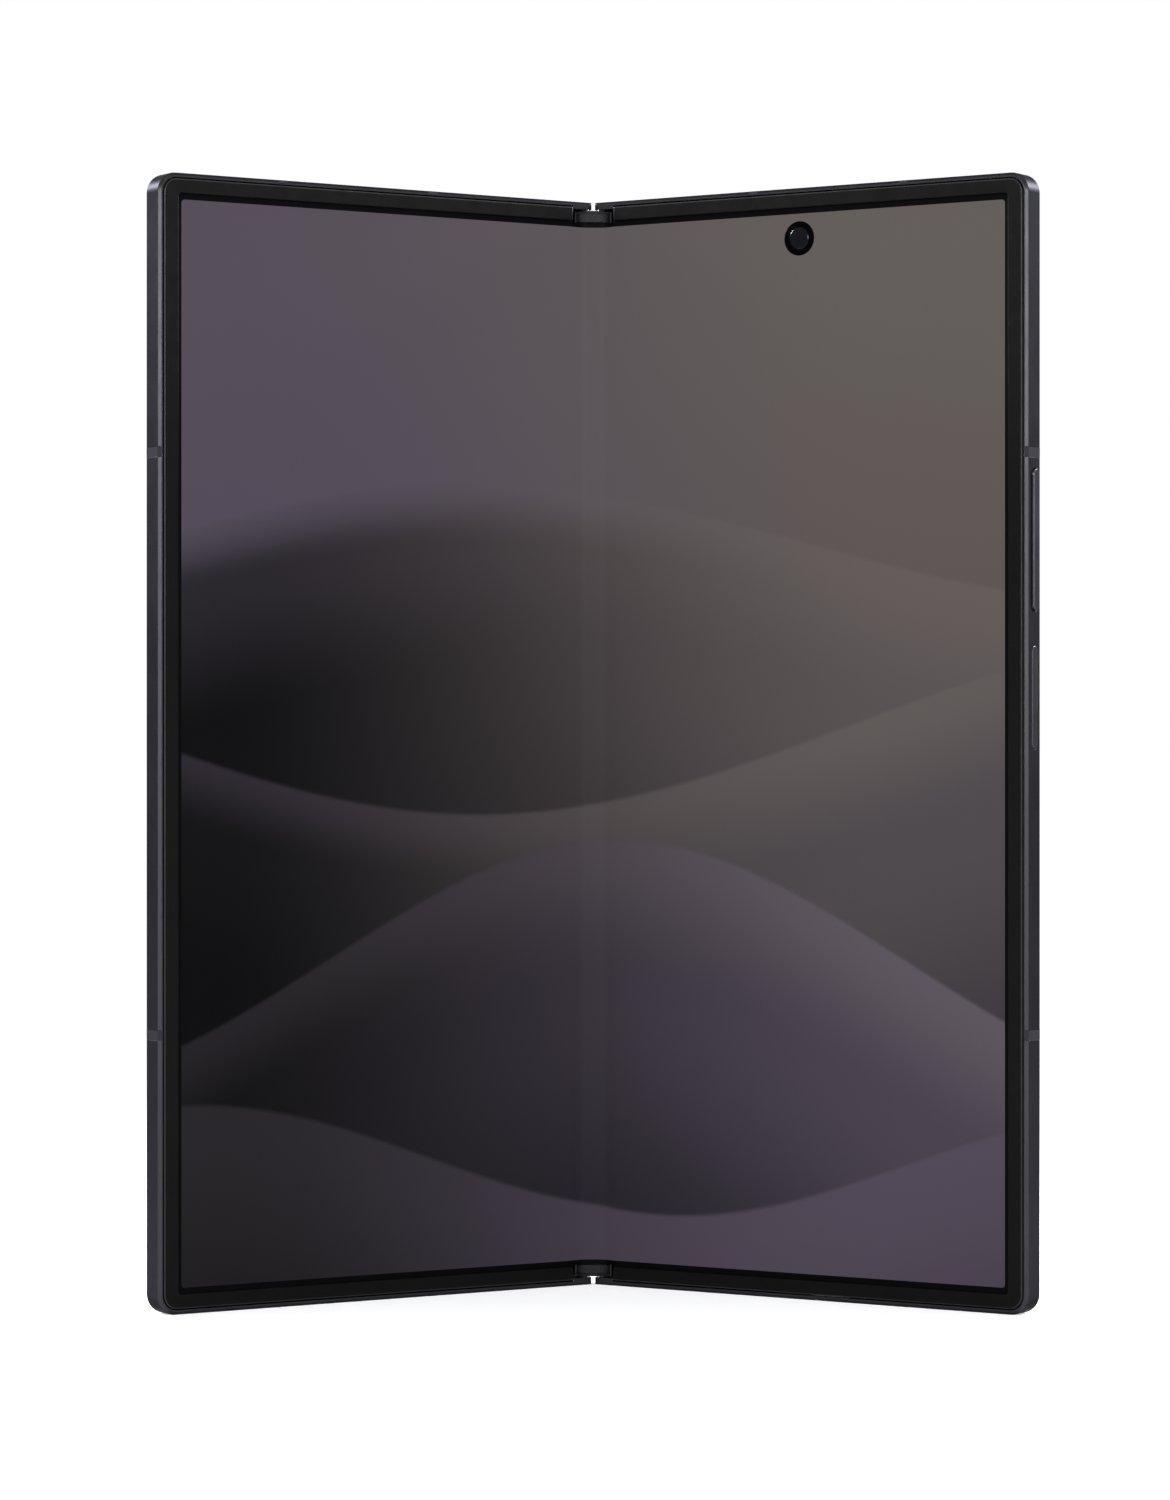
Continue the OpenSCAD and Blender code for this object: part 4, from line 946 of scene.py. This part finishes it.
def white_room():
    """White surroundings; softer for the light that reaches the object."""
    world = bpy.data.worlds.new("Studio")
    bpy.context.scene.world = world
    world.use_nodes = True
    world.node_tree.nodes.clear()
    path = add(world, "ShaderNodeLightPath")
    seen = math_node(world, "MAXIMUM", path.outputs["Is Camera Ray"],
                     path.outputs["Is Glossy Ray"])
    shown = math_node(world, "MAXIMUM", seen, path.outputs["Is Transmission Ray"])
    white = add(world, "ShaderNodeBackground", Color=(1, 1, 1, 1))
    soft = add(world, "ShaderNodeBackground", Color=(0.96, 0.97, 1.0, 1), Strength=0.85)
    mix = add(world, "ShaderNodeMixShader")
    out = add(world, "ShaderNodeOutputWorld")
    link(world, shown, mix.inputs["Fac"])
    link(world, soft.outputs[0], mix.inputs[1])
    link(world, white.outputs[0], mix.inputs[2])
    link(world, mix.outputs[0], out.inputs["Surface"])


def pale_floor():
    """Pale floor that meets the white surroundings and keeps the object's shadow."""
    bm = bmesh.new()
    bmesh.ops.create_grid(bm, x_segments=1, y_segments=1, size=30)
    floor = finish_mesh("floor", bm, Matrix.Identity(4))
    material, node = shader("Pale floor", Base_Color=(0.86, 0.86, 0.87), Roughness=0.9)
    node.inputs["Specular IOR Level"].default_value = 0.0
    glow = add(material, "ShaderNodeEmission", Strength=0.32)
    both = add(material, "ShaderNodeAddShader")
    path = add(material, "ShaderNodeLightPath")
    seen = math_node(material, "MAXIMUM", path.outputs["Is Camera Ray"],
                     path.outputs["Is Glossy Ray"])
    mix = add(material, "ShaderNodeMixShader")
    link(material, node.outputs[0], both.inputs[0])
    link(material, glow.outputs[0], both.inputs[1])
    link(material, seen, mix.inputs["Fac"])
    link(material, node.outputs[0], mix.inputs[1])
    link(material, both.outputs[0], mix.inputs[2])
    surface = material.node_tree.nodes["Material Output"].inputs["Surface"]
    link(material, mix.outputs[0], surface)
    floor.data.materials.append(material)


def softbox(name, place, target, size, power, spread_deg=180):
    """A square soft light that faces a point, narrowed by a grid if its spread is small."""
    light = bpy.data.lights.new(name, "AREA")
    light.size = size
    light.energy = power
    light.spread = math.radians(spread_deg)
    obj = bpy.data.objects.new(name, light)
    obj.location = place
    obj.rotation_euler = (Vector(target) - Vector(place)).to_track_quat("-Z", "Y").to_euler()
    bpy.context.collection.objects.link(obj)


def photo_camera():
    """The camera, placed and shifted as in the photograph."""
    camera = bpy.data.cameras.new("camera")
    camera.lens = LENS
    camera.sensor_width = SENSOR
    camera.shift_x = (PHOTO_W / 2 - OBJECT_X) / PHOTO_H
    camera.shift_y = (OBJECT_Y - PHOTO_H / 2) / PHOTO_H
    eye = bpy.data.objects.new("camera", camera)
    outer_plane = AXIS_Y + sizes().axis_up
    eye.location = (0, (outer_plane - CAMERA_BACK) * MM, BODY_H * MM / 2)
    eye.rotation_euler = (math.pi / 2, 0, 0)
    bpy.context.collection.objects.link(eye)
    bpy.context.scene.camera = eye


class PHONE_OT_stage(bpy.types.Operator):
    """Set the pale floor, white surroundings, soft lights and the camera"""
    bl_idname = "phone.stage"
    bl_label = "Stage"

    def execute(self, context):
        white_room()
        pale_floor()
        middle = (0, 0, BODY_H * MM / 2)
        upper = (0, 0, BODY_H * MM * 1.1)      # a little over the upper edge
        for word, side in SIDES.items():
            softbox(f"{word}_strip", (side * 0.5, -1.0, 0.32), upper,
                    size=0.2, power=0.44, spread_deg=38)
            softbox(f"{word}_side", (side * 0.95, 0.45, 0.66), upper,
                    size=0.3, power=2.2, spread_deg=34)
        softbox("top_light", (0.0, -0.5, 1.5), middle, size=0.8, power=3)
        photo_camera()
        context.scene.view_settings.view_transform = "Standard"
        return {"FINISHED"}


# ------------------------------------------------------------------ add-on
STEPS = (PHONE_OT_finishes, PHONE_OT_inner_screen, PHONE_OT_surround, PHONE_OT_metalwork,
         PHONE_OT_cameras, PHONE_OT_ports, PHONE_OT_stage)


class PHONE_PT_panel(bpy.types.Panel):
    """Lists the steps and the settings"""
    bl_label = "Folding phone"
    bl_idname = "PHONE_PT_panel"
    bl_space_type = "VIEW_3D"
    bl_region_type = "UI"
    bl_category = "Phone"

    def draw(self, context):
        for step in STEPS:
            self.layout.operator(step.bl_idname)
        for group in (context.scene.phone_sizes, context.scene.phone_colours):
            column = self.layout.column()
            for name in type(group).__annotations__:
                column.prop(group, name)


CLASSES = (PhoneSizes, PhoneColours, *STEPS, PHONE_PT_panel)


def register():
    for cls in CLASSES:
        bpy.utils.register_class(cls)
    bpy.types.Scene.phone_sizes = bpy.props.PointerProperty(type=PhoneSizes)
    bpy.types.Scene.phone_colours = bpy.props.PointerProperty(type=PhoneColours)


def unregister():
    del bpy.types.Scene.phone_colours
    del bpy.types.Scene.phone_sizes
    for cls in reversed(CLASSES):
        bpy.utils.unregister_class(cls)


def main():
    """Registers the add-on and runs the steps in their order."""
    register()
    for step in STEPS:
        group, name = step.bl_idname.split(".")
        getattr(getattr(bpy.ops, group), name)()


if __name__ == "__main__":
    main()
